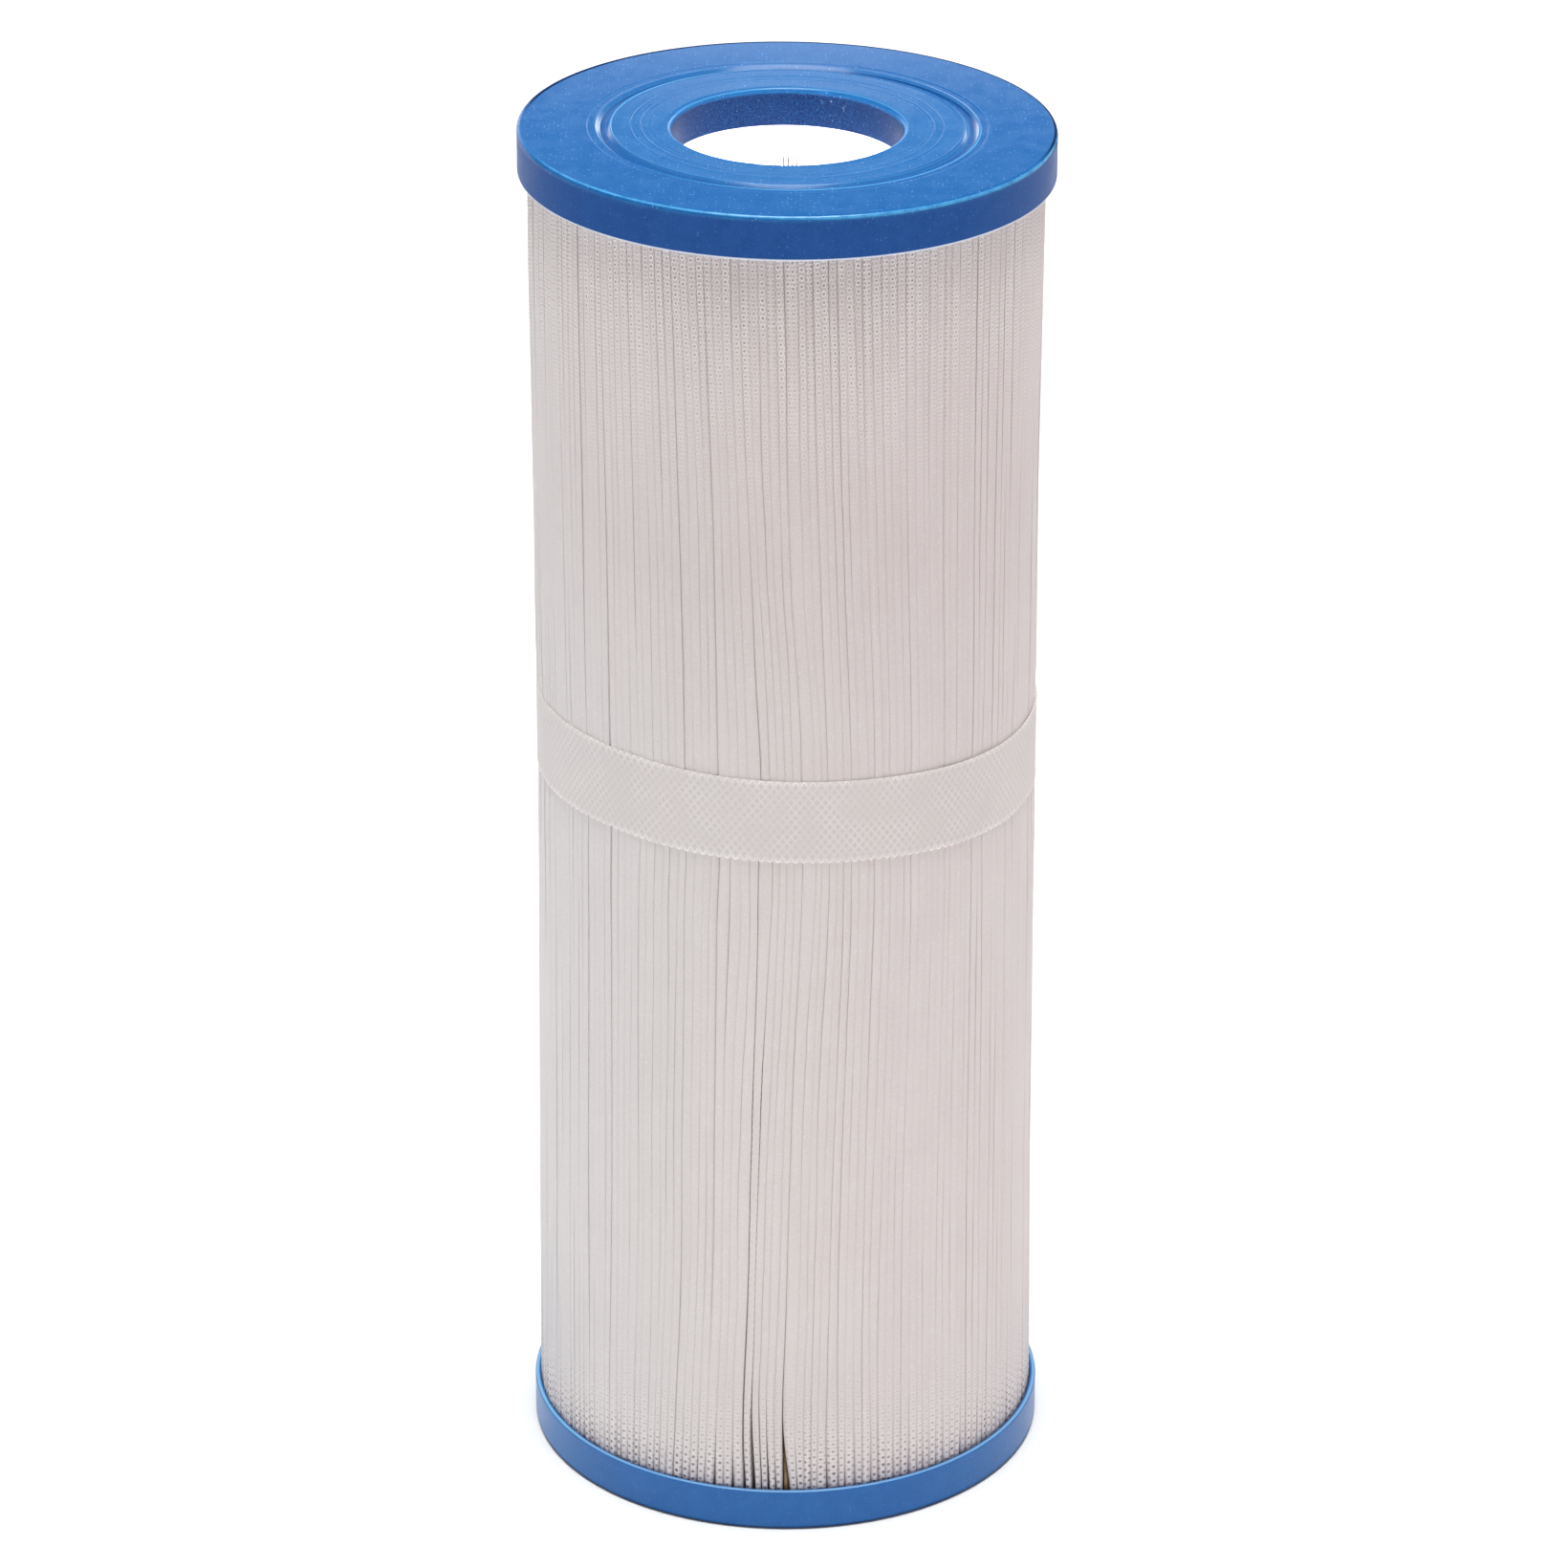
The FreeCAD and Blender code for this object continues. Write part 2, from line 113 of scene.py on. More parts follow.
LEVELS = [8, 12, 20, 30, 40, 50, 60, 75, 90, 105, 120, 135, 150, 160, 170, 178,
          199, 210, 220, 230, 240, 250, 260, 275, 290, 305, 320, 330]
FOLLOWED = [
    [-18.9, -18.8, -18.3, -18.0, -17.6, -17.1, -16.7, -16.3, -16.2, -16.2, -16.0, -15.9, -15.7, -15.7, -15.2, -14.8, -15.2, -15.3, -15.4, -15.5, -15.7, -15.8, -15.9, -16.4, -16.85, -17.3, -17.9, -18.2],
    [-16.4, -16.35, -16.0, -15.7, -15.2, -14.9, -14.4, -14.4, -14.2, -14.0, -14.0, -13.8, -13.3, -12.9, -12.6, -12.6, -12.5, -12.6, -13.1, -13.5, -13.6, -14.0, -14.1, -14.4, -15.1, -15.7, -16.2, -16.4],
    [-14.2, -14.2, -14.1, -14.0, -13.4, -13.2, -12.6, -12.6, -12.5, -12.0, -11.9, -11.4, -10.6, -10.1, -10.3, -10.4, -10.6, -10.8, -11.0, -11.3, -11.6, -11.9, -12.1, -12.6, -13.2, -13.6, -14.0, -14.2],
    [-12.0, -12.0, -12.05, -11.9, -11.8, -11.4, -10.7, -10.8, -10.8, -10.2, -9.9, -9.0, -8.5, -8.0, -8.2, -8.2, -8.5, -8.8, -9.1, -9.4, -9.8, -10.1, -10.2, -10.8, -11.3, -11.7, -12.0, -12.2],
    [-9.2, -9.2, -9.65, -9.6, -9.35, -8.9, -8.5, -8.1, -8.0, -7.6, -7.4, -6.9, -6.6, -6.3, -6.4, -6.2, -5.5, -6.0, -6.6, -7.0, -7.2, -7.6, -8.0, -8.55, -9.2, -9.6, -10.1, -10.3],
    [-7.1, -7.1, -7.55, -7.75, -7.4, -6.9, -6.8, -6.5, -6.1, -5.7, -5.4, -4.7, -4.0, -3.5, -3.0, -3.0, -3.7, -3.9, -4.3, -4.7, -5.3, -6.0, -6.2, -6.9, -7.3, -7.8, -8.1, -8.3],
    [-5.25, -5.25, -5.65, -5.9, -5.9, -5.3, -5.2, -4.6, -4.5, -3.9, -3.3, -2.8, -2.2, -1.9, -1.4, -1.4, -1.9, -2.2, -2.6, -3.0, -3.7, -4.2, -4.4, -5.2, -5.5, -5.6, -6.1, -6.3],
    [-3.65, -3.65, -4.05, -4.2, -4.1, -3.6, -3.4, -3.1, -2.8, -2.4, -1.9, -1.1, -0.5, -0.2, 0.2, 0.1, -0.2, -0.5, -0.9, -1.4, -2.1, -2.6, -2.8, -3.4, -3.6, -3.8, -4.25, -4.4],
    [-2.0, -2.0, -2.35, -2.5, -2.3, -1.9, -1.5, -1.0, -0.8, -0.3, 0.0, 0.6, 1.2, 1.6, 1.8, 1.7, 1.6, 1.1, 0.9, 0.5, -0.3, -0.8, -0.9, -1.4, -1.5, -1.8, -2.4, -2.6],
    [0.4, 0.4, -0.3, -0.6, -0.4, 0.0, 0.35, 0.6, 0.9, 1.25, 1.6, 2.1, 2.9, 3.2, 3.6, 3.8, 3.4, 3.3, 2.8, 2.2, 1.4, 1.1, 0.8, 0.3, 0.15, 0.05, -0.5, -0.7],
    [2.85, 2.85, 2.45, 2.35, 2.6, 3.0, 3.3, 3.7, 3.6, 3.8, 4.3, 4.8, 5.7, 6.2, 6.7, 6.9, 6.4, 6.2, 5.5, 4.9, 4.2, 3.9, 3.8, 3.1, 3.1, 2.9, 2.6, 2.4],
    [4.4, 4.4, 4.3, 4.3, 4.4, 4.8, 5.1, 5.1, 5.5, 5.7, 6.2, 6.4, 7.2, 7.5, 7.9, 8.3, 8.0, 7.7, 7.0, 6.3, 6.0, 5.8, 5.5, 4.9, 4.8, 4.5, 4.15, 4.0],
    [6.0, 6.0, 6.0, 6.0, 6.2, 6.4, 6.6, 6.9, 7.3, 7.2, 7.6, 8.2, 9.1, 9.4, 9.8, 9.8, 9.5, 9.1, 8.8, 8.4, 8.0, 7.7, 7.4, 6.8, 6.5, 6.2, 5.7, 5.6],
    [7.3, 7.3, 7.5, 7.6, 7.7, 8.0, 8.2, 8.6, 8.9, 9.3, 9.6, 10.2, 10.8, 11.2, 11.4, 11.4, 11.2, 10.9, 10.6, 10.2, 9.9, 9.5, 9.2, 8.7, 8.3, 7.9, 7.4, 7.3],
    [9.85, 9.85, 9.4, 9.5, 9.7, 9.8, 10.2, 10.4, 10.7, 11.1, 11.6, 12.0, 12.7, 13.0, 13.0, 13.0, 13.0, 12.7, 12.4, 12.0, 11.6, 11.3, 11.0, 10.3, 10.1, 9.6, 9.1, 9.0],
    [12.4, 12.4, 12.3, 12.2, 12.1, 12.1, 12.2, 12.4, 12.7, 13.0, 13.5, 13.9, 14.4, 14.8, 14.8, 14.8, 14.8, 14.5, 14.2, 13.8, 13.4, 13.1, 12.8, 12.2, 11.9, 11.5, 11.0, 10.9],
]
# full width in degrees of the open gaps: boundary -> (heights, widths)
GAPS = {
    0: ([8, 12, 18, 24], [0.25, 0.18, 0.06, 0.02]),
    1: ([5, 12, 16, 20, 92, 97, 110, 118, 150, 165, 190], [0.8, 0.7, 0.38, 0.03, 0.02, 0.05, 0.05, 0.03, 0.03, 0.04, 0.02]),
    2: ([8, 12, 18], [0.15, 0.10, 0.03]),
    3: ([5, 10, 14, 19, 160, 168, 178, 186], [0.9, 0.75, 0.3, 0.03, 0.02, 0.05, 0.05, 0.02]),
    4: ([8, 12, 20, 30, 40, 60, 75, 90, 105, 120, 135, 150, 160, 170, 180, 240, 250], [0.75, 0.7, 0.42, 0.40, 0.34, 0.26, 0.20, 0.18, 0.18, 0.15, 0.07, 0.03, 0.02, 0.02, 0.02, 0.02, 0.02]),
    5: ([8, 20, 30, 38, 60, 90, 105, 120, 135, 145, 155, 214, 220, 235, 242], [0.95, 0.85, 0.40, 0.10, 0.03, 0.08, 0.14, 0.18, 0.14, 0.06, 0.04, 0.04, 0.05, 0.05, 0.04]),
    6: ([8, 20, 30, 36, 42], [0.25, 0.22, 0.22, 0.14, 0.03]),
    7: ([5, 12, 20, 30, 36], [0.6, 0.5, 0.22, 0.10, 0.02]),
    8: ([5, 9, 14, 18], [0.5, 0.4, 0.08, 0.02]),
    9: ([8, 12, 15, 20, 25, 30, 40, 50, 75, 90, 120, 305, 320], [1.8, 1.75, 1.3, 0.75, 0.36, 0.22, 0.15, 0.11, 0.05, 0.03, 0.02, 0.02, 0.04]),
    10: ([8, 14, 20], [0.15, 0.08, 0.02]),
    14: ([5, 9, 14, 20], [0.5, 0.4, 0.12, 0.03]),
}
# broad soft shoulders: boundary -> side (+1 the pleat after it), heights, widths in degrees, depths in mm
SHOULDERS = [
    (4, 1, [100, 125, 150, 160, 178, 199, 230, 240, 252], [0.4, 0.7, 1.1, 1.6, 1.9, 1.6, 1.3, 0.7, 0.3], [0.08, 0.13, 0.2, 0.26, 0.3, 0.26, 0.2, 0.13, 0.08]),
    (9, 1, [8, 20, 60, 120, 178, 199, 260, 330], [0.5, 1.0, 1.2, 1.3, 1.4, 1.4, 1.2, 1.2], [0.7, 0.6, 0.3, 0.22, 0.22, 0.22, 0.2, 0.3]),
    (14, 1, [8, 30, 60, 80], [0.7, 0.8, 0.7, 0.3], [0.6, 0.5, 0.3, 0.1]),
    (0, -1, [45, 65, 300, 325], [0.3, 1.2, 1.2, 0.4], [0.2, 0.5, 0.5, 0.2]),
    (1, 1, [130, 150, 165, 180], [0.3, 0.8, 0.9, 0.4], [0.08, 0.2, 0.22, 0.1]),
]


def pleat_layout(z):
    """Angles of the boundaries between pleats at the outer edge, gap half widths, shoulders and radii, each (pleat, height)."""
    k = np.arange(PLEATS)
    regular = 0.3 + (k - CREASE) * PITCH
    followed = np.array([eased(z, LEVELS, row) for row in FOLLOWED])
    drift = followed - regular[:16, None]
    out = np.zeros((PLEATS, len(z)))
    out[:16] = drift
    away = lambda steps: 0.5 * (1 + np.cos(np.pi * np.clip(steps * PITCH / 44.0, 0, 1)))
    for i in range(16, PLEATS):
        right, left = i - 15, PLEATS - i
        out[i] = drift[15] * away(right) if right < left else drift[0] * away(left)
    # the same kind of sway further round, smaller
    sway = np.zeros_like(out)
    for centre, size, mid in ((75, 1.1, 150), (118, -1.3, 190), (150, 0.9, 120)):
        sway += size * np.exp(-0.5 * ((k[:, None] - centre) / 11.0) ** 2) * np.cos(np.clip((z[None] - mid) / 320, -0.5, 0.5) * np.pi * 2)
    loose = np.clip(rng.normal(0, 0.13, (PLEATS, 1)), -0.26, 0.26) + 0.11 * smooth_noise(PLEATS, z, 3, 70, 300)
    sway += loose
    sway[:16] = 0
    edge = regular[:, None] + out + sway
    step = np.diff(np.vstack([edge, edge[:1] + 360]), axis=0)
    # no pleat is squeezed below 1.25 degrees
    for _ in range(40):
        short = np.clip(1.3 - step, 0, None)
        if short.max() <= 0:
            break
        push = short * 0.5
        move = np.roll(push, 1, axis=0) - push
        move[:16] = 0
        edge = edge + move
        step = np.diff(np.vstack([edge, edge[:1] + 360]), axis=0)

    ends = np.clip((17 - z) / 10, 0, 1) + np.clip((z - 318) / 15, 0, 1) * 0.12
    character = np.exp(0.42 * rng.normal(0, 1, (PLEATS, 1)) + 0.25 * smooth_noise(PLEATS, z, 2, 60, 200))
    open_ = np.clip((50 - z) / 35, 0, 1)
    gap = (0.004 + 0.012 * open_[None]) * np.clip(character, 0.4, 2.0) + ends[None] * rng.uniform(0.0, 0.30, (PLEATS, 1)) ** 2 * 1.6
    gap = gap * (1.0 - 0.55 * np.clip((z - 262) / 40, 0, 1))[None]
    steep = np.repeat((1.0 + 4.0 * np.clip((55 - z) / 25, 0, 1) + 7.0 * np.clip((28 - z) / 12, 0, 1))[None], PLEATS, 0)
    steep[4] = 1.2 + 4.0 * np.clip((142 - z) / 40, 0, 1) + 5.0 * np.clip((45 - z) / 20, 0, 1)
    steep[5] = 1.2 + 3.5 * np.clip((135 - z) / 25, 0, 1) + 5.0 * np.clip((45 - z) / 20, 0, 1)
    near = np.clip((34 - z) / 26, 0, 1) ** 1.2 + 0.20 * np.clip((z - 280) / 50, 0, 1)
    width = 0.34 * np.clip(character, 0.6, 1.7) * (1 + 0.9 * near[None])
    depth = 0.036 * np.clip(character, 0.4, 2.4) * (1 + 6.5 * near[None])
    left_w, left_d = width.copy(), depth.copy()        # shoulder of the pleat before the boundary
    right_w, right_d = width * rng.uniform(0.8, 1.2, (PLEATS, 1)), depth * rng.uniform(0.7, 1.3, (PLEATS, 1))
    for b, (heights, widths) in GAPS.items():
        half = eased(z, heights, np.array(widths) / 2)
        inside = np.clip((heights[-1] + 6 - z) / 6, 0, 1) if heights[-1] < 300 else np.ones(len(z))
        gap[b] = np.maximum(gap[b] * 0.6, half * inside)
    for b, side, heights, widths, depths in SHOULDERS:
        w, d = eased(z, heights, widths), eased(z, heights, depths)
        inside = np.clip((z - heights[0] + 8) / 8, 0, 1) * np.clip((heights[-1] + 8 - z) / 8, 0, 1)
        tw, td = (right_w, right_d) if side > 0 else (left_w, left_d)
        tw[b] = np.maximum(tw[b], w * inside)
        td[b] = np.maximum(td[b], d * inside)
    for other, heights in ((40, 60), (63, 200), (97, 110), (131, 250), (160, 90), (172, 180), (28, 240)):
        bump = np.exp(-0.5 * ((z - heights) / 55) ** 2)
        gap[other] += 0.08 * bump
        right_w[other] += 0.7 * bump
        right_d[other] += 0.5 * bump

    mean = np.interp(z, [4.6, 22, 73, 125, 151, 172, 178, 184, 194, 199, 206, 251, 308, 334],
                     [61.05, 60.95, 60.5, 60.15, 59.9, 59.8, 59.58, 59.4, 59.4, 59.55, 59.7, 59.7, 60.0, 60.1])
    under_band = np.clip(1 - np.abs(z - 188.0) / 14, 0, 1)
    offset = (np.clip(rng.normal(0, 0.052, (PLEATS, 1)), -0.11, 0.11) + 0.035 * smooth_noise(PLEATS, z, 2, 60, 220)) * (1 - under_band)
    radius = mean[None] + offset
    radius = np.minimum(radius, 61.13)
    tilt = (np.clip(rng.normal(0, 0.036, (PLEATS, 1)), -0.08, 0.08) + 0.02 * smooth_noise(PLEATS, z, 2, 70, 240)) * (1 - under_band)
    return regular, edge, gap, (left_w, left_d), (right_w, right_d), radius, tilt, steep


def lean_x(z):
    """How far the fabric sits to -X of the axis, in mm, at each height."""
    return -np.interp(z, [5, 22, 73, 125, 151, 202, 251, 308, 330], [0.1, 0.15, 0.25, 0.15, 0.1, 0.25, 0.45, 0.5, 0.4])


def ring_point(r, degrees, z):
    a = np.radians(degrees)
    return np.stack([r * np.sin(a) + lean_x(z), -r * np.cos(a), np.broadcast_to(z, np.shape(r))], -1)


regular, edge, gap, left, right, radius, tilt, steep = pleat_layout(ROWS)
nz = len(ROWS)
ARC = np.radians([0, 32, 62, 90])
DOT_U, DOT_V = 1.18, 2.04        # spacing of the bond points across and along the fabric
FOLD = 0.72                      # half width in degrees of an inner fold, at the core
columns, col_u, col_q = [], [], []
lift = smooth_noise(PLEATS, ROWS, 2, 50, 150) * 0.015 + 0.035
for i in range(PLEATS):
    j = (i + 1) % PLEATS
    turn = 360.0 if j == 0 else 0.0
    a0 = edge[i] + gap[i]
    a1 = edge[j] + turn - gap[j]
    wide = a1 - a0
    wl, dl = right[0][i].copy(), right[1][i]
    wr, dr = left[0][j].copy(), left[1][j]
    over = np.maximum((wl + wr) / (0.86 * wide), 1)
    wl, wr = wl / over, wr / over
    R = radius[i]
    centred = (math.floor(60.0 * i / DOT_U) + 0.5) * DOT_U
    centre_u = centred + (rng.normal(0, 0.08) if rng.uniform() < 0.82 else rng.uniform(-0.6, 0.6))
    mm = math.pi / 180 * 60
    columns.append(ring_point(np.full(nz, INNER), np.full(nz, regular[i] + FOLD), ROWS)); col_u.append(np.full(nz, 60.0 * i - 29.6))
    col_q.append(np.full(nz, -2.0))
    RL, RR = R + tilt[i], R - tilt[i]
    closes = 0.02 + 0.10 * np.clip((26 - ROWS) / 14, 0, 1) + steep[i] * 2 * gap[i] * mm
    r_in = np.maximum(RL - dl - closes, 45.0)
    columns.append(ring_point(r_in, edge[i] + 0.02 + (a0 - edge[i] - 0.02) * 0.15, ROWS)); col_u.append(np.full(nz, centre_u - 2.4))
    col_q.append(np.full(nz, -1.3))
    mid = (a0 + wl + a1 - wr) / 2
    for q in ARC:
        ang = a0 + wl * (1 - math.cos(q))
        columns.append(ring_point(RL - dl * (1 - math.sin(q)), ang, ROWS)); col_u.append(centre_u + (ang - mid) * mm)
        col_q.append((ang - mid) / (mid - a0))
    columns.append(ring_point(R + lift[i], mid, ROWS)); col_u.append(np.full(nz, centre_u))
    col_q.append(np.zeros(nz))
    for q in ARC[::-1]:
        ang = a1 - wr * (1 - math.cos(q))
        columns.append(ring_point(RR - dr * (1 - math.sin(q)), ang, ROWS)); col_u.append(centre_u + (ang - mid) * mm)
        col_q.append((ang - mid) / (a1 - mid))
    closes = 0.02 + 0.10 * np.clip((26 - ROWS) / 14, 0, 1) + steep[j] * 2 * gap[j] * mm
    r_in = np.maximum(RR - dr - closes, 45.0)
    b1 = edge[j] + turn
    columns.append(ring_point(r_in, b1 - 0.02 - (b1 - 0.02 - a1) * 0.15, ROWS)); col_u.append(np.full(nz, centre_u + 2.4))
    col_q.append(np.full(nz, 1.3))
    columns.append(ring_point(np.full(nz, INNER), np.full(nz, regular[j] + turn - FOLD), ROWS)); col_u.append(np.full(nz, 60.0 * i + 29.6))
    col_q.append(np.full(nz, 2.0))
verts = np.array(columns)                      # (columns, rows, 3)
ncol = len(columns)
uv = np.stack([np.array(col_u), np.broadcast_to(ROWS, (ncol, nz))], -1)
uv2 = np.stack([np.array(col_q), np.broadcast_to(np.repeat(np.arange(PLEATS), 13)[:, None], (ncol, nz))], -1)
# the two ends of the fabric meet in the crease: the sheet is open there
start = 13 * CREASE
verts = np.roll(verts, -start, axis=0)
uv = np.roll(uv, -start, axis=0)
uv2 = np.roll(uv2, -start, axis=0)
last = verts[:1].copy()
last_uv = uv[:1].copy()
last[..., 0] -= 0.02
verts = np.concatenate([verts, last]); uv = np.concatenate([uv, last_uv]); uv2 = np.concatenate([uv2, uv2[:1]]); ncol += 1
media = to_object("pleated_fabric", verts.reshape(-1, 3), grid(ncol, nz), uv=uv.reshape(-1, 2), uv2=uv2.reshape(-1, 2))

# adhesive that closes the crease, a wedge between the two end pleats
zz = np.concatenate([np.arange(4.9, 40, 1.2), np.arange(40, 333.2, 4.0), [333.2]])
line = eased(zz, LEVELS, FOLLOWED[CREASE])
half = eased(zz, GAPS[CREASE][0], np.array(GAPS[CREASE][1]) / 2)
Rz = np.interp(zz, ROWS, radius[CREASE])
wob = smooth_noise(1, zz, 4, 6, 28)[0]
wob2 = smooth_noise(1, zz, 4, 9, 40)[0]
top_r = Rz - np.interp(zz, [5, 12, 16, 19.5, 23, 30, 60, 333], [1.3, 1.6, 2.8, 4.6, 6.4, 7.5, 7.5, 7.0]) + 0.15 * wob
rows_ = []
for share, side in ((0.0, -1), (0.5, -1), (0.93, -1), (1.0, -0.6), (1.02, 0.0), (1.0, 0.6), (0.93, 1), (0.5, 1), (0.0, 1)):
    r = 32.0 + (top_r - 32.0) * share
    t = (r - INNER) / (Rz - INNER)
    mid = regular[CREASE] + (line - regular[CREASE]) * t
    w = half * t + 0.05 + 0.02 * wob2
    rows_.append(ring_point(r, mid + side * w, zz))
bead = np.stack(rows_, 1)                      # (heights, ring, 3)
nb = bead.shape[1]
adhesive = to_object("crease_adhesive", bead.reshape(-1, 3), grid(len(zz), nb, wrap_v=True)[:, ::-1],
                     tail=[list(range(nb)), [(len(zz) - 1) * nb + i for i in range(nb)][::-1]])

# ---------------------------------------------------------------- retaining band

BAND_H = 20.3
BAND_AT = ([-180, -120, -90, -60, -50, -40, -30, -20, -10, 0, 10, 20, 30, 40, 50, 60, 90, 120, 180],
           [187.8, 189.0, 189.6, 189.85, 189.85, 189.75, 189.3, 188.75, 188.4, 188.0, 187.7, 187.35, 186.8, 186.1, 185.65, 185.3, 185.4, 186.2, 187.8])
CELL_U, CELL_V = 2.0, 2.5
LAP = 14.0
per_cell = 6
around = 2 * math.pi * 59.95
length_b = around + LAP
nu = int(round(length_b / (CELL_U / per_cell))) + 1
su = np.linspace(0, length_b, nu)
phi_b = 180.0 - 4.0 - su / around * 360.0      # starts at the back, goes round by the front
nf = 52
tv = np.linspace(-BAND_H / 2, BAND_H / 2, nf)


def net(u, v):
    """Raised diamond net: 1 on a strand, 0 in the middle of a cell."""
    a = u / CELL_U + v / CELL_V
    b = u / CELL_U - v / CELL_V
    ridge = lambda t: 0.5 + 0.5 * np.cos(2 * np.pi * t)
    ra, rb = ridge(a) ** 2.0, ridge(b) ** 2.0
    return np.maximum(ra, rb) * 0.75 + 0.25 * ra * rb


turns = np.arange(-360.0, 361.0, 1.0)
path_z = np.interp((turns + 180) % 360 - 180, *BAND_AT)
kern = np.exp(-0.5 * (np.arange(-18, 19) / 5.0) ** 2)
path_z = np.convolve(np.pad(path_z, 18, mode="wrap"), kern / kern.sum(), "valid")


def band_z(degrees, t):
    return np.interp(degrees, turns, path_z) + t


over = np.clip((su - (around - 16)) / 16, 0, 1)
over = over * over * (3 - 2 * over) * 0.5      # the lapping end climbs on to the start
uwave = np.sin(2 * np.pi * su / 47.0) * 0.03 + np.sin(2 * np.pi * su / 121.0 + 1) * 0.05
THICK = 0.42
ringcols = []
tt = np.concatenate([tv, [BAND_H / 2 + 0.03], tv[::-1][[0, 10, 21, 32, 43, 51]] * 0.997, [-BAND_H / 2 - 0.03]])
nv = len(tt)
skew = 0.010
V = np.zeros((nu, nv, 3))
UVb = np.zeros((nu, nv, 2))
for n, t in enumerate(tt):
    front = n < nf
    back = nf < n < nv - 1
    if front:
        scal = 0.5 + 0.5 * np.cos(2 * np.pi * (su / CELL_U + 0.5 * round((abs(t)) / (CELL_V / 2))))
        rim = np.clip((abs(t) - BAND_H / 2 + 0.95) / 0.7, 0, 1)
        rel = 0.17 * net(su, t) * (1 - 0.55 * rim) + 0.17 * rim
        r = 59.84 + rel + uwave + over
        tz = t + np.sign(t) * rim * 0.30 * (scal * 2 - 1)
    elif back:
        r = 59.86 - THICK + uwave + over
        tz = np.full(nu, t)
    else:
        r = 59.86 - THICK * 0.45 + uwave + over
        tz = np.full(nu, t * 1.0)
    a = np.radians(phi_b)
    x = r * np.sin(a)
    y = -r * np.cos(a)
    # the whole band sits 0.12 mm towards -X
    V[:, n, 0] = x - 0.12
    V[:, n, 1] = y
    V[:, n, 2] = band_z(phi_b, tz)
    UVb[:, n, 0] = su
    UVb[:, n, 1] = t
faces = grid(nu, nv, wrap_v=True)
caps = [list(range(nv)), [(nu - 1) * nv + i for i in range(nv)][::-1]]
band = to_object("retaining_band_net", V.reshape(-1, 3), faces, uv=UVb.reshape(-1, 2), tail=caps)

# ---------------------------------------------------------------- end caps


def rounded(corners, support=0.1):
    """A closed outline in (radius, height) with each corner rounded. corners: (r, z, fillet, segments)."""
    out = []
    n = len(corners)
    for i in range(n):
        p0, p, p1 = (np.array(corners[j][:2], float) for j in ((i - 1) % n, i, (i + 1) % n))
        f, segs = corners[i][2], corners[i][3]
        a, b = p0 - p, p1 - p
        la, lb = np.linalg.norm(a), np.linalg.norm(b)
        a, b = a / la, b / lb
        ang = math.acos(max(-1, min(1, float(a @ b))))
        t = min(f / math.tan(ang / 2), 0.45 * la, 0.45 * lb)
        f = t * math.tan(ang / 2)
        s, e = p + a * t, p + b * t
        c = p + (a + b) / np.linalg.norm(a + b) * (f / math.sin(ang / 2))
        if la - t > support * 3:
            out.append(s + a * support)
        v0, v1 = s - c, e - c
        full = math.atan2(v0[0] * v1[1] - v0[1] * v1[0], v0 @ v1)
        for q in range(segs + 1):
            w = full * q / segs
            out.append(c + np.array([v0[0] * math.cos(w) - v0[1] * math.sin(w), v0[0] * math.sin(w) + v0[1] * math.cos(w)]))
        if lb - t > support * 3:
            out.append(e + b * support)
    return np.array(out)


def cap_outline(rim):
    """Cap section with the outer face at height 0 and the body below it."""
    return rounded([
        (27.0, -9.3, 0.3, 4),
        (27.0, -0.12, 1.1, 9),
        (33.72, -0.12, 0.06, 2), (33.86, -0.055, 0.05, 2), (34.06, -0.055, 0.05, 2), (34.2, -0.12, 0.06, 2),
        (36.05, -0.12, 0.06, 2), (36.2, -0.05, 0.05, 2), (36.4, -0.05, 0.05, 2), (36.55, -0.12, 0.06, 2),
        (40.75, -0.12, 0.06, 2), (40.9, -0.02, 0.06, 3), (41.14, -0.02, 0.08, 3), (42.0, -0.9, 0.30, 5),
        (43.35, -0.9, 0.30, 5), (44.5, -0.05, 0.14, 4), (44.75, -0.12, 0.08, 2),
        (46.4, -0.12, 0.08, 2), (46.55, 0.0, 0.1, 3),
        (62.7, 0.0, 1.0, 10),
        (62.7, -rim, 0.5, 6), (61.2, -rim, 0.5, 6),
        (61.2, -4.6, 0.25, 3), (28.8, -4.6, 0.25, 3), (28.8, -9.3, 0.3, 4),
    ])


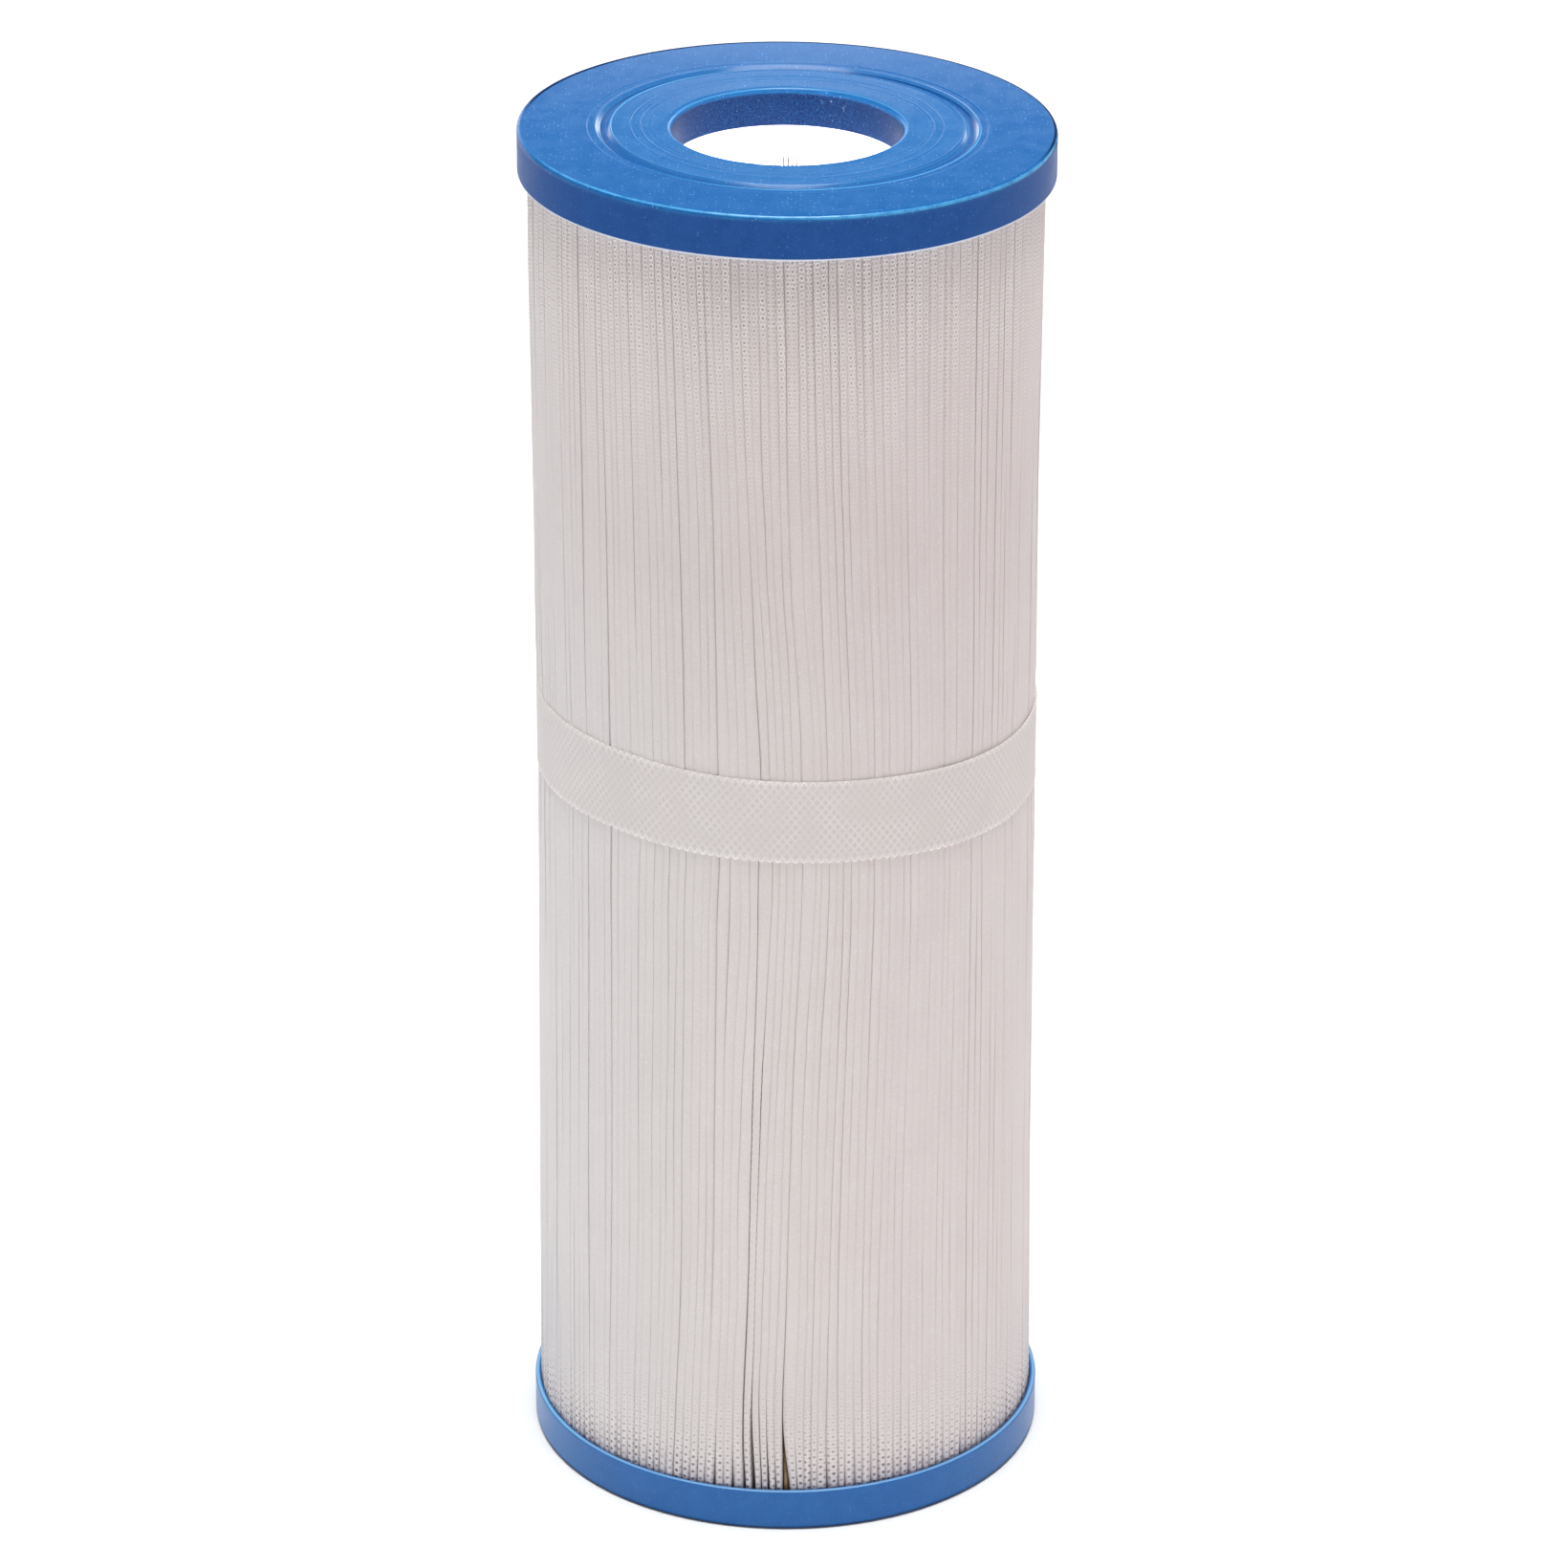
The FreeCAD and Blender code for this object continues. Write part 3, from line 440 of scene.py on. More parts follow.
def lathe(name, outline, height, flip, seat=None):
    seg = 360
    m = len(outline)
    a = np.arange(seg) * 2 * np.pi / seg
    r = outline[:, 0][None, :] * np.ones((seg, 1))
    h = outline[:, 1][None, :] * np.ones((seg, 1))
    face = np.clip((h + 0.25) / 0.2, 0, 1) * (r > 28)
    # a moulded face is never quite flat
    wave = 0.018 * np.sin(2 * a[:, None] + 0.6) + 0.012 * np.sin(3 * a[:, None] + 2 + r * 0.04) + 0.006 * np.sin(7 * a[:, None] + r * 0.11)
    h = h + np.minimum(wave - 0.04, 0) * face * (np.clip((r - 28) / 4, 0, 1))
    z = height - h if flip else height + h
    v = np.stack([r * np.cos(a)[:, None], r * np.sin(a)[:, None], z], -1).reshape(-1, 3)
    if seat:
        # the adhesive set with this cap a fraction of a degree off square
        grow, move_x, tip_x, tip_y, drop = seat
        v[:, :2] *= grow
        v[:, 2] += tip_x * v[:, 0] + tip_y * v[:, 1] - drop
        v[:, 0] += move_x
    f = grid(seg, m, wrap_u=True, wrap_v=True)
    p = v[f]
    vol = np.einsum("ij,ij->i", p[:, 0], np.cross(p[:, 1], p[:, 2])).sum() + np.einsum("ij,ij->i", p[:, 0], np.cross(p[:, 2], p[:, 3])).sum()
    if vol < 0:
        f = f[:, ::-1]
    return to_object(name, v, f)


cap_top = lathe("end_cap_top", cap_outline(10.7), 338.1, False, seat=(0.9975, -0.3, -0.0090, 0.0035, 0.35))
cap_bottom = lathe("end_cap_bottom", cap_outline(10.5), 0.0, True)

# ---------------------------------------------------------------- materials


class Mat:
    def __init__(self, name):
        self.m = bpy.data.materials.new(name)
        self.m.use_nodes = True
        self.t = self.m.node_tree
        self.t.nodes.clear()
        self.out = self.t.nodes.new("ShaderNodeOutputMaterial")
        self.b = self.t.nodes.new("ShaderNodeBsdfPrincipled")
        self.t.links.new(self.b.outputs[0], self.out.inputs[0])

    def put(self, socket, value):
        if isinstance(value, bpy.types.NodeSocket):
            self.t.links.new(value, socket)
        elif isinstance(value, (tuple, list)) and len(value) == 3 and socket.type == "RGBA":
            socket.default_value = (*value, 1)
        else:
            socket.default_value = value

    def node(self, kind, settings=None, **inputs):
        n = self.t.nodes.new("ShaderNode" + kind)
        for key, value in (settings or {}).items():
            setattr(n, key, value)
        for key, value in inputs.items():
            self.put(n.inputs[key.replace("_", " ")], value)
        return n

    def math(self, op, a, b=0.0, c=0.0, clamp=False):
        n = self.t.nodes.new("ShaderNodeMath")
        n.operation, n.use_clamp = op, clamp
        for s, v in zip(n.inputs, (a, b, c)):
            self.put(s, v)
        return n.outputs[0]

    def add(self, a, b): return self.math("ADD", a, b)
    def sub(self, a, b): return self.math("SUBTRACT", a, b)
    def mul(self, a, b): return self.math("MULTIPLY", a, b)

    def ramp(self, v, lo, hi, to0=0.0, to1=1.0, smooth=True):
        n = self.t.nodes.new("ShaderNodeMapRange")
        n.interpolation_type = "SMOOTHSTEP" if smooth else "LINEAR"
        for s, x in zip(n.inputs, (v, lo, hi, to0, to1)):
            self.put(s, x)
        return n.outputs[0]

    def mix(self, f, a, b, how="MIX"):
        n = self.t.nodes.new("ShaderNodeMix")
        n.data_type, n.blend_type = "RGBA", how
        for s, v in zip((n.inputs[0], n.inputs[6], n.inputs[7]), (f, a, b)):
            self.put(s, v)
        return n.outputs[2]

    def noise(self, vec, scale, detail=2.0, rough=0.5, distort=0.0):
        n = self.t.nodes.new("ShaderNodeTexNoise")
        for key, v in (("Vector", vec), ("Scale", scale), ("Detail", detail), ("Roughness", rough), ("Distortion", distort)):
            self.put(n.inputs[key], v)
        return n.outputs["Fac"]

    def place(self):
        """Object coordinates in millimetres, and their radius, x, y and z."""
        tc = self.t.nodes.new("ShaderNodeTexCoord")
        s = self.t.nodes.new("ShaderNodeVectorMath")
        s.operation = "SCALE"
        self.t.links.new(tc.outputs["Object"], s.inputs[0])
        s.inputs["Scale"].default_value = 1000.0
        sep = self.t.nodes.new("ShaderNodeSeparateXYZ")
        self.t.links.new(s.outputs[0], sep.inputs[0])
        x, y, z = sep.outputs
        r = self.math("SQRT", self.add(self.mul(x, x), self.mul(y, y)))
        return s.outputs[0], r, x, y, z

    def combine(self, x, y, z):
        n = self.t.nodes.new("ShaderNodeCombineXYZ")
        for s, v in zip(n.inputs, (x, y, z)):
            self.put(s, v)
        return n.outputs[0]

    def scaled(self, vec, sx, sy, sz):
        n = self.t.nodes.new("ShaderNodeVectorMath")
        n.operation = "MULTIPLY"
        self.put(n.inputs[0], vec)
        n.inputs[1].default_value = (sx, sy, sz)
        return n.outputs[0]

    def bump(self, height, millimetres, normal=None):
        n = self.t.nodes.new("ShaderNodeBump")
        n.inputs["Strength"].default_value = 1.0
        n.inputs["Distance"].default_value = millimetres * MM
        self.put(n.inputs["Height"], height)
        if normal is not None:
            self.put(n.inputs["Normal"], normal)
        return n.outputs[0]

    def finish(self, **sockets):
        for key, v in sockets.items():
            self.put(self.b.inputs[key.replace("_", " ")], v)
        return self.m


def blue_plastic():
    k = Mat("cap_blue_urethane")
    p, r, x, y, z = k.place()
    # heights on the upper cap are measured from its own tipped face
    z = k.add(z, k.mul(k.ramp(z, 200.0, 240.0), k.add(k.add(k.mul(x, 0.0090), k.mul(y, -0.0035)), 0.35)))
    cloud = k.noise(p, 0.22, 3, 0.55)
    grain = k.noise(p, 2.6, 2, 0.6)
    fine = k.noise(p, 6.5, 1, 0.5)
    face = k.ramp(k.math("ABSOLUTE", k.sub(z, 169.05)), 167.3, 168.2)
    upper = k.ramp(z, 200.0, 240.0)
    base = k.mix(k.ramp(cloud, 0.3, 0.7), (0.0140, 0.129, 0.415), (0.0180, 0.145, 0.452))
    # painted shade: the top cap's rim side and hole wall get a darker blue than its face, and the hole wall darker
    # still
    base = k.mix(k.mul(upper, k.math("MAXIMUM", k.ramp(r, 60.0, 61.0), k.ramp(r, 27.6, 28.4, 1.0, 0.0))), base, k.mix(k.ramp(cloud, 0.3, 0.7), (0.0175, 0.079, 0.300), (0.0215, 0.091, 0.330)))
    base = k.mix(k.mul(upper, k.ramp(r, 27.6, 28.4, 1.0, 0.0)), base, k.mix(k.ramp(cloud, 0.3, 0.7), (0.0036, 0.0172, 0.086), (0.0045, 0.0204, 0.094)))
    # painted light: the bottom cap's rim is made paler towards its left and right sides
    bottom_rim_side_light = k.mul(k.mul(k.sub(1.0, upper), k.ramp(r, 60.0, 61.0)), k.ramp(k.math("ABSOLUTE", x), 22.0, 58.0))
    base = k.mix(k.mul(bottom_rim_side_light, 0.14), base, (0.09, 0.26, 0.52))
    base = k.mix(face, base, k.mix(k.ramp(cloud, 0.3, 0.7), (0.0105, 0.116, 0.368), (0.0135, 0.130, 0.392)))
    base = k.mix(k.mul(k.ramp(grain, 0.35, 0.75), 0.4), base, k.mix(face, (0.016, 0.125, 0.40), (0.032, 0.185, 0.49)))
    # painted shade: the front edge zone of each cap face is made less red, to take off the reflected light there
    base = k.mix(k.mul(face, k.ramp(y, -52.0, -36.0, 1.0, 0.0)), base, (0.78, 0.97, 1.0), "MULTIPLY")
    # painted light: the top cap's rim side gets a warm tint on its right and a cooler, darker tint on its left
    top_rim_side_light = k.mul(k.sub(1.0, face), k.mul(upper, k.ramp(r, 61.0, 62.0)))
    base = k.mix(k.mul(top_rim_side_light, k.ramp(x, 34.0, 54.0)), base, (1.34, 1.04, 1.0), "MULTIPLY")
    base = k.mix(k.mul(top_rim_side_light, k.ramp(x, -54.0, -34.0, 1.0, 0.0)), base, (0.80, 0.97, 1.01), "MULTIPLY")
    # the raised land round the hole is a shade paler
    base = k.mix(k.mul(face, k.ramp(r, 40.6, 41.0, 1.0, 0.0)), base, (1.22, 1.17, 1.09), "MULTIPLY")
    # pale and dark specks of pigment and tiny bubbles; the pale specks are partly painted glints, made stronger on the
    # cap faces
    speck = k.node("TexVoronoi", {"feature": "F1"}, Vector=p, Scale=1.0)
    pick = k.node("SeparateColor", None, Color=speck.outputs["Color"])
    near_speck = k.sub(speck.outputs["Distance"], k.mul(face, 0.045))
    here = k.mul(k.ramp(near_speck, 0.08, 0.17, 1.0, 0.0), k.ramp(pick.outputs[0], 0.62, 0.66))
    base = k.mix(k.mul(here, k.add(0.40, k.mul(face, 0.22))), base, (0.20, 0.48, 0.83))
    speck_and_glint_cells = k.node("TexVoronoi", {"feature": "F1"}, Vector=p, Scale=2.5)
    pick2 = k.node("SeparateColor", None, Color=speck_and_glint_cells.outputs["Color"])
    there = k.mul(k.ramp(speck_and_glint_cells.outputs["Distance"], 0.16, 0.26, 1.0, 0.0), k.ramp(pick2.outputs[1], 0.30, 0.36))
    base = k.mix(k.mul(there, k.add(0.34, k.mul(face, 0.36))), base, (0.085, 0.30, 0.68))
    dark = k.mul(k.ramp(speck_and_glint_cells.outputs["Distance"], 0.16, 0.30, 1.0, 0.0), k.ramp(pick2.outputs[2], 0.74, 0.80))
    base = k.mix(k.mul(dark, 0.5), base, (0.004, 0.05, 0.2))
    # fine rings left by turning, and a short scratch
    flat_r = k.combine(k.mul(r, 1.0), 0.0, 0.0)
    ring = k.noise(flat_r, 1.7, 3, 0.6)
    ring_break = k.noise(p, 0.09, 2, 0.5)
    inner = k.mul(k.ramp(r, 28.2, 29.5), k.ramp(r, 40.4, 41.0, 1.0, 0.0))
    outer = k.mul(k.ramp(r, 47.2, 48.0), k.ramp(ring_break, 0.46, 0.64))
    ringed = k.mul(face, k.add(inner, k.mul(outer, 0.55)))
    rings = k.mul(k.sub(ring, 0.5), ringed)
    base = k.mix(k.mul(k.ramp(ring, 0.56, 0.70), k.mul(ringed, 0.60)), base, (0.070, 0.27, 0.61))
    base = k.mix(k.mul(k.ramp(ring, 0.44, 0.32), k.mul(ringed, 0.35)), base, (0.010, 0.095, 0.32))
    # painted highlights along the top face's outer edge, the hole's edge, the bottom cap's lip, the step ring and the
    # two sides and rims of the groove; painted shade on the groove's floor
    def at(value, centre, half, soft=0.12):
        return k.ramp(k.math("ABSOLUTE", k.sub(value, centre)), half, half + soft, 1.0, 0.0)
    # patchy strength for the painted highlights on the outer edge and the step ring
    highlight_breakup = k.ramp(k.noise(p, 0.35, 3, 0.6), 0.30, 0.62, 0.45, 1.0)
    outer_edge_highlight = k.mul(k.mul(at(r, 62.22, 0.14, 0.22), k.ramp(k.math("ABSOLUTE", k.sub(z, 169.05)), 167.9, 168.3)), k.mul(highlight_breakup, k.mul(k.ramp(x, -60.0, -47.0, 0.22, 1.0), k.ramp(y, -14.0, 6.0, 1.0, 0.25))))
    hole_edge_highlight = k.mul(at(r, 27.50, 0.07, 0.17), k.ramp(k.math("ABSOLUTE", k.sub(z, 169.05)), 167.6, 168.5))
    lip = k.mul(at(r, 62.15, 0.24, 0.22), k.mul(k.ramp(z, 9.85, 10.15), k.ramp(z, 12.0, 13.0, 1.0, 0.0)))
    # painted light: the lower edge of the top cap's skirt is painted near white
    skirt_edge_light = k.mul(k.mul(upper, k.ramp(r, 61.5, 61.9)), k.ramp(z, 327.85, 328.05, 1.0, 0.0))
    # painted shade: a dark line just inside the edge at the back of the top face, where the gloss is also taken off
    far_edge_shade = k.mul(k.mul(at(k.add(r, k.ramp(y, 5.0, 55.0, -0.40, 0.0)), 61.5, 0.42, 0.2), k.ramp(k.add(y, k.mul(x, 0.25)), -14.0, 6.0)), k.mul(upper, k.ramp(z, 336.4, 337.0)))
    slot = k.mul(upper, k.ramp(z, 336.0, 336.8))
    slot = k.math("MAXIMUM", slot, k.mul(k.sub(1.0, upper), k.ramp(z, 1.4, 2.0, 1.0, 0.0)))
    groove_out = k.mul(at(r, 43.98, 0.46, 0.2), slot)
    groove_in = k.mul(at(r, 41.52, 0.42, 0.2), slot)
    groove_rim = k.mul(k.math("MAXIMUM", k.mul(at(r, 41.05, 0.08, 0.14), k.ramp(y, -14.0, 14.0, 0.25, 1.0)), k.mul(at(r, 44.50, 0.08, 0.14), k.ramp(y, -14.0, 14.0, 1.0, 0.25))), slot)
    sideways = k.ramp(k.math("ABSOLUTE", x), 12.0, 32.0)
    groove_floor = k.mul(at(r, 42.75, 0.35, 0.3), slot)
    # painted highlight: a faint pale line along the small step ring on the face
    step = k.mul(at(r, 46.48, 0.07, 0.12), k.mul(face, highlight_breakup))
    # painted shade on the groove's floor
    base = k.mix(k.mul(groove_floor, 0.42), base, (0.008, 0.075, 0.28))
    base = k.mix(k.mul(far_edge_shade, 0.92), base, (0.002, 0.015, 0.07))
    # painted shade: dark lines in the two bottom corners of the groove
    groove_foot = k.math("MAXIMUM", at(r, 43.30, 0.10, 0.16), at(r, 41.86, 0.04, 0.12))
    base = k.mix(k.mul(k.mul(groove_foot, slot), 0.62), base, (0.003, 0.035, 0.155))
    # the painted highlights, and the painted light on the skirt's lower edge, are laid on here
    for mask, much, tone in ((outer_edge_highlight, 0.74, (0.115, 0.48, 0.87)), (hole_edge_highlight, 0.60, (0.12, 0.42, 0.78)), (lip, 0.72, (0.27, 0.54, 0.84)),
                             (groove_out, 0.25, (0.08, 0.28, 0.62)), (groove_in, 0.30, (0.07, 0.27, 0.62)), (groove_rim, 0.78, (0.13, 0.50, 0.90)), (step, 0.42, (0.09, 0.31, 0.66)), (skirt_edge_light, 0.94, (0.74, 0.77, 0.88))):
        base = k.mix(k.mul(mask, much), base, tone)
    # painted contact shadow: a dark line round the foot of the bottom cap
    foot = k.mul(k.ramp(z, 0.60, 1.10, 1.0, 0.0), k.ramp(r, 61.4, 62.0))
    base = k.mix(k.mul(foot, 0.88), base, (0.003, 0.024, 0.10))
    # painted light: the bottom cap is made paler towards its left side
    base = k.mix(k.mul(k.sub(1.0, upper), k.ramp(x, -60.0, -42.0, 1.0, 0.0)), base, (1.05, 1.14, 1.08), "MULTIPLY")
    gloss = k.math("MINIMUM", k.add(k.add(k.mul(groove_out, k.add(0.12, k.mul(sideways, 0.60))), k.mul(groove_in, k.add(0.03, k.mul(sideways, 0.47)))), k.add(k.add(k.mul(groove_floor, 0.05), k.mul(groove_rim, k.ramp(y, -20.0, 10.0, 0.12, 0.5))), k.add(outer_edge_highlight, k.mul(lip, 0.6)))), 1.0)
    line = k.mul(k.ramp(k.math("ABSOLUTE", k.sub(y, k.mul(x, -0.03))), 0.05, 0.16, 1.0, 0.0),
                 k.mul(k.ramp(x, 30.5, 31.5), k.ramp(x, 38.0, 39.0, 1.0, 0.0)))
    # scuffs in the hole
    scuff = k.noise(k.scaled(p, 1.0, 1.0, 0.6), 1.3, 4, 0.7)
    spot = k.mul(k.ramp(k.math("ABSOLUTE", k.sub(x, 10.5)), 1.0, 5.0, 1.0, 0.0), k.mul(k.ramp(y, 20.0, 23.0), k.ramp(r, 27.2, 27.6, 1.0, 0.0)))
    scuffs = k.mul(k.ramp(scuff, 0.62, 0.70), spot)
    base = k.mix(k.mul(scuffs, 0.6), base, (0.45, 0.60, 0.85))
    rough = k.add(k.ramp(cloud, 0.2, 0.8, 0.36, 0.46), k.mul(k.sub(grain, 0.5), 0.12))
    h = k.add(k.mul(grain, 0.55), k.mul(fine, 0.35))
    n = k.bump(h, 0.030)
    n = k.bump(k.add(rings, k.mul(k.mul(line, face), 0.5)), 0.10, n)
    n2 = k.bump(k.add(rings, k.add(k.mul(line, face), k.mul(grain, 0.05))), 0.07)
    coat = k.math("MAXIMUM", k.mul(gloss, 0.85), k.add(0.06, k.add(k.mul(face, 0.34), k.mul(k.sub(1.0, upper), k.mul(k.sub(1.0, face), 0.36)))))
    coat = k.mul(coat, k.sub(1.0, k.mul(far_edge_shade, 0.9)))
    coat_rough = k.mix(gloss, k.mix(k.ramp(cloud, 0.3, 0.7), (0.16, 0.16, 0.16), (0.24, 0.24, 0.24)), (0.13, 0.13, 0.13))
    return k.finish(Base_Color=base, Roughness=rough, Normal=n, Specular_IOR_Level=k.mul(k.sub(1.0, face), k.ramp(z, 200.0, 240.0, 0.10, 0.04)), Coat_Weight=coat, Coat_Roughness=coat_rough, Coat_Normal=n2)


def sheet_nodes(k):
    uvn = k.t.nodes.new("ShaderNodeUVMap")
    uvn.uv_map = "sheet_mm"
    sep = k.t.nodes.new("ShaderNodeSeparateXYZ")
    k.t.links.new(uvn.outputs[0], sep.inputs[0])
    return uvn.outputs[0], sep.outputs[0], sep.outputs[1]


def spunbond():
    k = Mat("spunbond_polyester")
    vec, u, v = sheet_nodes(k)
    p, r, x, y, z = k.place()
    second = k.t.nodes.new("ShaderNodeUVMap")
    second.uv_map = "pleat"
    own = k.t.nodes.new("ShaderNodeSeparateXYZ")
    k.t.links.new(second.outputs[0], own.inputs[0])
    q, index = k.math("ABSOLUTE", own.outputs[0]), k.math("ROUND", own.outputs[1])
    chance = k.node("TexWhiteNoise", {"noise_dimensions": "2D"}, Vector=k.combine(index, 3.0, 0.0))
    dice = k.node("SeparateColor", None, Color=chance.outputs["Color"])
    col = k.math("FLOOR", k.math("DIVIDE", u, DOT_U))
    fx = k.mul(k.sub(k.math("FRACT", k.math("DIVIDE", u, DOT_U)), 0.5), DOT_U)
    shift = k.mul(k.math("FRACT", k.mul(col, 0.5)), 1.0)
    wander = k.mul(k.sub(k.noise(vec, 0.55, 1, 0.5), 0.5), 0.25)
    fy = k.mul(k.sub(k.math("FRACT", k.add(k.add(k.math("DIVIDE", v, DOT_V), k.add(shift, dice.outputs[0])), wander)), 0.5), DOT_V)
    size = k.ramp(v, 8.0, 34.0, 0.47, 0.34)
    d = k.math("SQRT", k.add(k.math("POWER", k.math("DIVIDE", fx, size), 2.0), k.math("POWER", k.math("DIVIDE", fy, size), 2.0)))
    dot = k.ramp(d, 0.42, 1.12, 1.0, 0.0)
    halo = k.mul(k.ramp(d, 0.88, 1.28), k.ramp(d, 1.75, 2.5, 1.0, 0.0))
    streak = k.noise(k.scaled(vec, 1.0, 0.012, 1.0), 2.3, 2, 0.6)
    # the bond points are a real pattern; their darkness, strong near the two caps and faint at mid height, is painted
    # shade
    lows = k.add(k.ramp(v, 9.0, 25.0, 0.74, 0.0), k.ramp(v, 16.0, 46.0, 0.26, 0.035))
    highs = k.ramp(v, 262.0, 326.0, 0.0, 0.40)
    side_fade = k.ramp(q, 0.55, 0.90, 1.0, 0.45)
    rings = k.mul(k.mul(k.math("MAXIMUM", k.ramp(v, 12.0, 48.0, 0.80, 0.05), k.ramp(v, 250.0, 322.0, 0.05, 1.0)), side_fade), k.ramp(k.noise(k.scaled(vec, 0.6, 0.35, 1.0), 0.12, 2, 0.5), 0.35, 0.65, 0.55, 1.15))
    patchy = k.ramp(k.noise(k.scaled(vec, 0.6, 0.35, 1.0), 0.12, 2, 0.5), 0.35, 0.65, 0.55, 1.15)
    strength = k.mul(k.mul(k.math("MAXIMUM", lows, highs), patchy), side_fade)
    dots = k.mul(dot, strength)
    fibre = k.noise(k.scaled(vec, 1.6, 0.55, 1.0), 3.2, 4, 0.65, 0.6)
    fleck = k.noise(k.scaled(vec, 0.9, 0.35, 1.0), 1.1, 3, 0.6)
    cloud = k.noise(p, 0.055, 3, 0.55)
    # painted light across the fabric: a cool tint on the left, a warm tint on the right and painted shade at the front
    # centre
    tone = k.t.nodes.new("ShaderNodeValToRGB")
    stops = ((-62.0, (0.862, 0.838, 0.834)), (-50.0, (0.850, 0.816, 0.812)), (-27.0, (0.800, 0.755, 0.742)), (0.0, (0.818, 0.743, 0.722)),
             (27.0, (0.818, 0.724, 0.718)), (50.0, (0.842, 0.743, 0.736)), (62.0, (0.850, 0.752, 0.748)))
    for _ in stops[2:]:
        tone.color_ramp.elements.new(0.5)
    for stop, (where, colour) in zip(tone.color_ramp.elements, stops):
        stop.position = (where + 64.0) / 128.0
        stop.color = (*colour, 1)
    k.put(tone.inputs[0], k.ramp(x, -64.0, 64.0, smooth=False))
    base = k.mix(k.ramp(cloud, 0.35, 0.65, 0.0, 0.16), tone.outputs[0], (0.93, 0.90, 0.88))
    # painted shadow under the top cap, deepest at the front centre
    base = k.mix(k.ramp(v, 290.0, 326.0, 0.0, 0.26), base, (0.48, 0.405, 0.41))
    base = k.mix(k.mul(k.ramp(v, 286.0, 326.0, 0.0, 0.42), k.ramp(k.math("ABSOLUTE", x), 14.0, 38.0, 1.0, 0.0)), base, (0.48, 0.405, 0.41))
    # painted shade: the upper part of the fabric is made a little darker
    base = k.mix(k.ramp(v, 185.0, 275.0), base, (0.948, 0.905, 0.910), "MULTIPLY")
    # painted shade towards the bottom cap, most at the front centre, with a bluish cast at the lower left and lower
    # right
    base = k.mix(k.ramp(v, 15.0, 80.0, 1.0, 0.42), base, (0.928, 0.935, 0.940), "MULTIPLY")
    base = k.mix(k.mul(k.ramp(v, 14.0, 60.0, 1.0, 0.0), k.ramp(k.math("ABSOLUTE", x), 6.0, 26.0, 1.0, 0.0)), base, (0.90, 0.905, 0.905), "MULTIPLY")
    base = k.mix(k.mul(k.ramp(v, 12.0, 70.0, 1.0, 0.0), k.ramp(x, -63.0, -46.0, 1.0, 0.0)), base, (0.76, 0.80, 0.89), "MULTIPLY")
    base = k.mix(k.mul(k.ramp(v, 12.0, 46.0, 1.0, 0.0), k.ramp(x, 44.0, 61.0)), base, (0.85, 0.87, 0.92), "MULTIPLY")
    base = k.mix(k.mul(k.ramp(fibre, 0.30, 0.75, 1.0, 0.0), 0.30), base, (0.66, 0.60, 0.585))
    base = k.mix(k.mul(k.ramp(fleck, 0.55, 0.75), 0.35), base, (0.90, 0.85, 0.835))
    base = k.mix(k.mul(k.ramp(streak, 0.3, 0.7), 0.30), base, (0.745, 0.690, 0.675))
    base = k.mix(k.mul(k.ramp(streak, 0.58, 0.80), 0.30), base, (0.93, 0.89, 0.875))
    lint = k.noise(k.scaled(vec, 1.0, 0.55, 1.0), 2.1, 3, 0.65)
    base = k.mix(k.mul(k.ramp(lint, 0.56, 0.72), 0.38), base, (0.96, 0.93, 0.915))
    base = k.mix(k.mul(k.ramp(lint, 0.30, 0.44, 1.0, 0.0), 0.24), base, (0.62, 0.56, 0.55))
    # each pleat is a rounded rib: painted shade towards the valley on either side and a painted highlight along its
    # crown
    mine = k.ramp(dice.outputs[1], 0.0, 1.0, 0.20, 1.30, smooth=False)
    valley = k.ramp(q, 0.45, 1.02)
    ribbed = k.math("MAXIMUM", k.add(k.ramp(v, 8.0, 26.0, 0.54, 0.0), k.ramp(v, 18.0, 50.0, 0.17, 0.06)), k.ramp(v, 240.0, 328.0, 0.06, 0.14))
    base = k.mix(k.mul(k.mul(valley, mine), ribbed), base, (0.47, 0.415, 0.415))
    crown = k.ramp(q, 0.0, 0.55, 1.0, 0.0)
    base = k.mix(k.mul(k.mul(crown, mine), k.mul(ribbed, 0.50)), base, (0.95, 0.91, 0.895))
    base = k.mix(k.mul(k.mul(halo, rings), k.ramp(v, 200.0, 270.0, 0.70, 0.82)), base, (0.96, 0.905, 0.89))
    base = k.mix(k.mul(dots, 0.95), base, (0.13, 0.105, 0.118))
    # painted shade in the two long gaps beside pleat 4, left of the crease, broken into dots like the bond points of
    # the fold behind
    gap_shade = k.mul(k.ramp(k.math("ABSOLUTE", k.sub(index, 4.0)), 0.4, 0.6, 1.0, 0.0), k.mul(k.ramp(q, 0.74, 0.96), k.ramp(v, 112.0, 140.0, 1.0, 0.0)))
    beads = k.ramp(k.math("ABSOLUTE", fy), 0.25, 0.75, 1.0, 0.35)
    base = k.mix(k.mul(k.mul(gap_shade, beads), 0.50), base, (0.22, 0.19, 0.19))
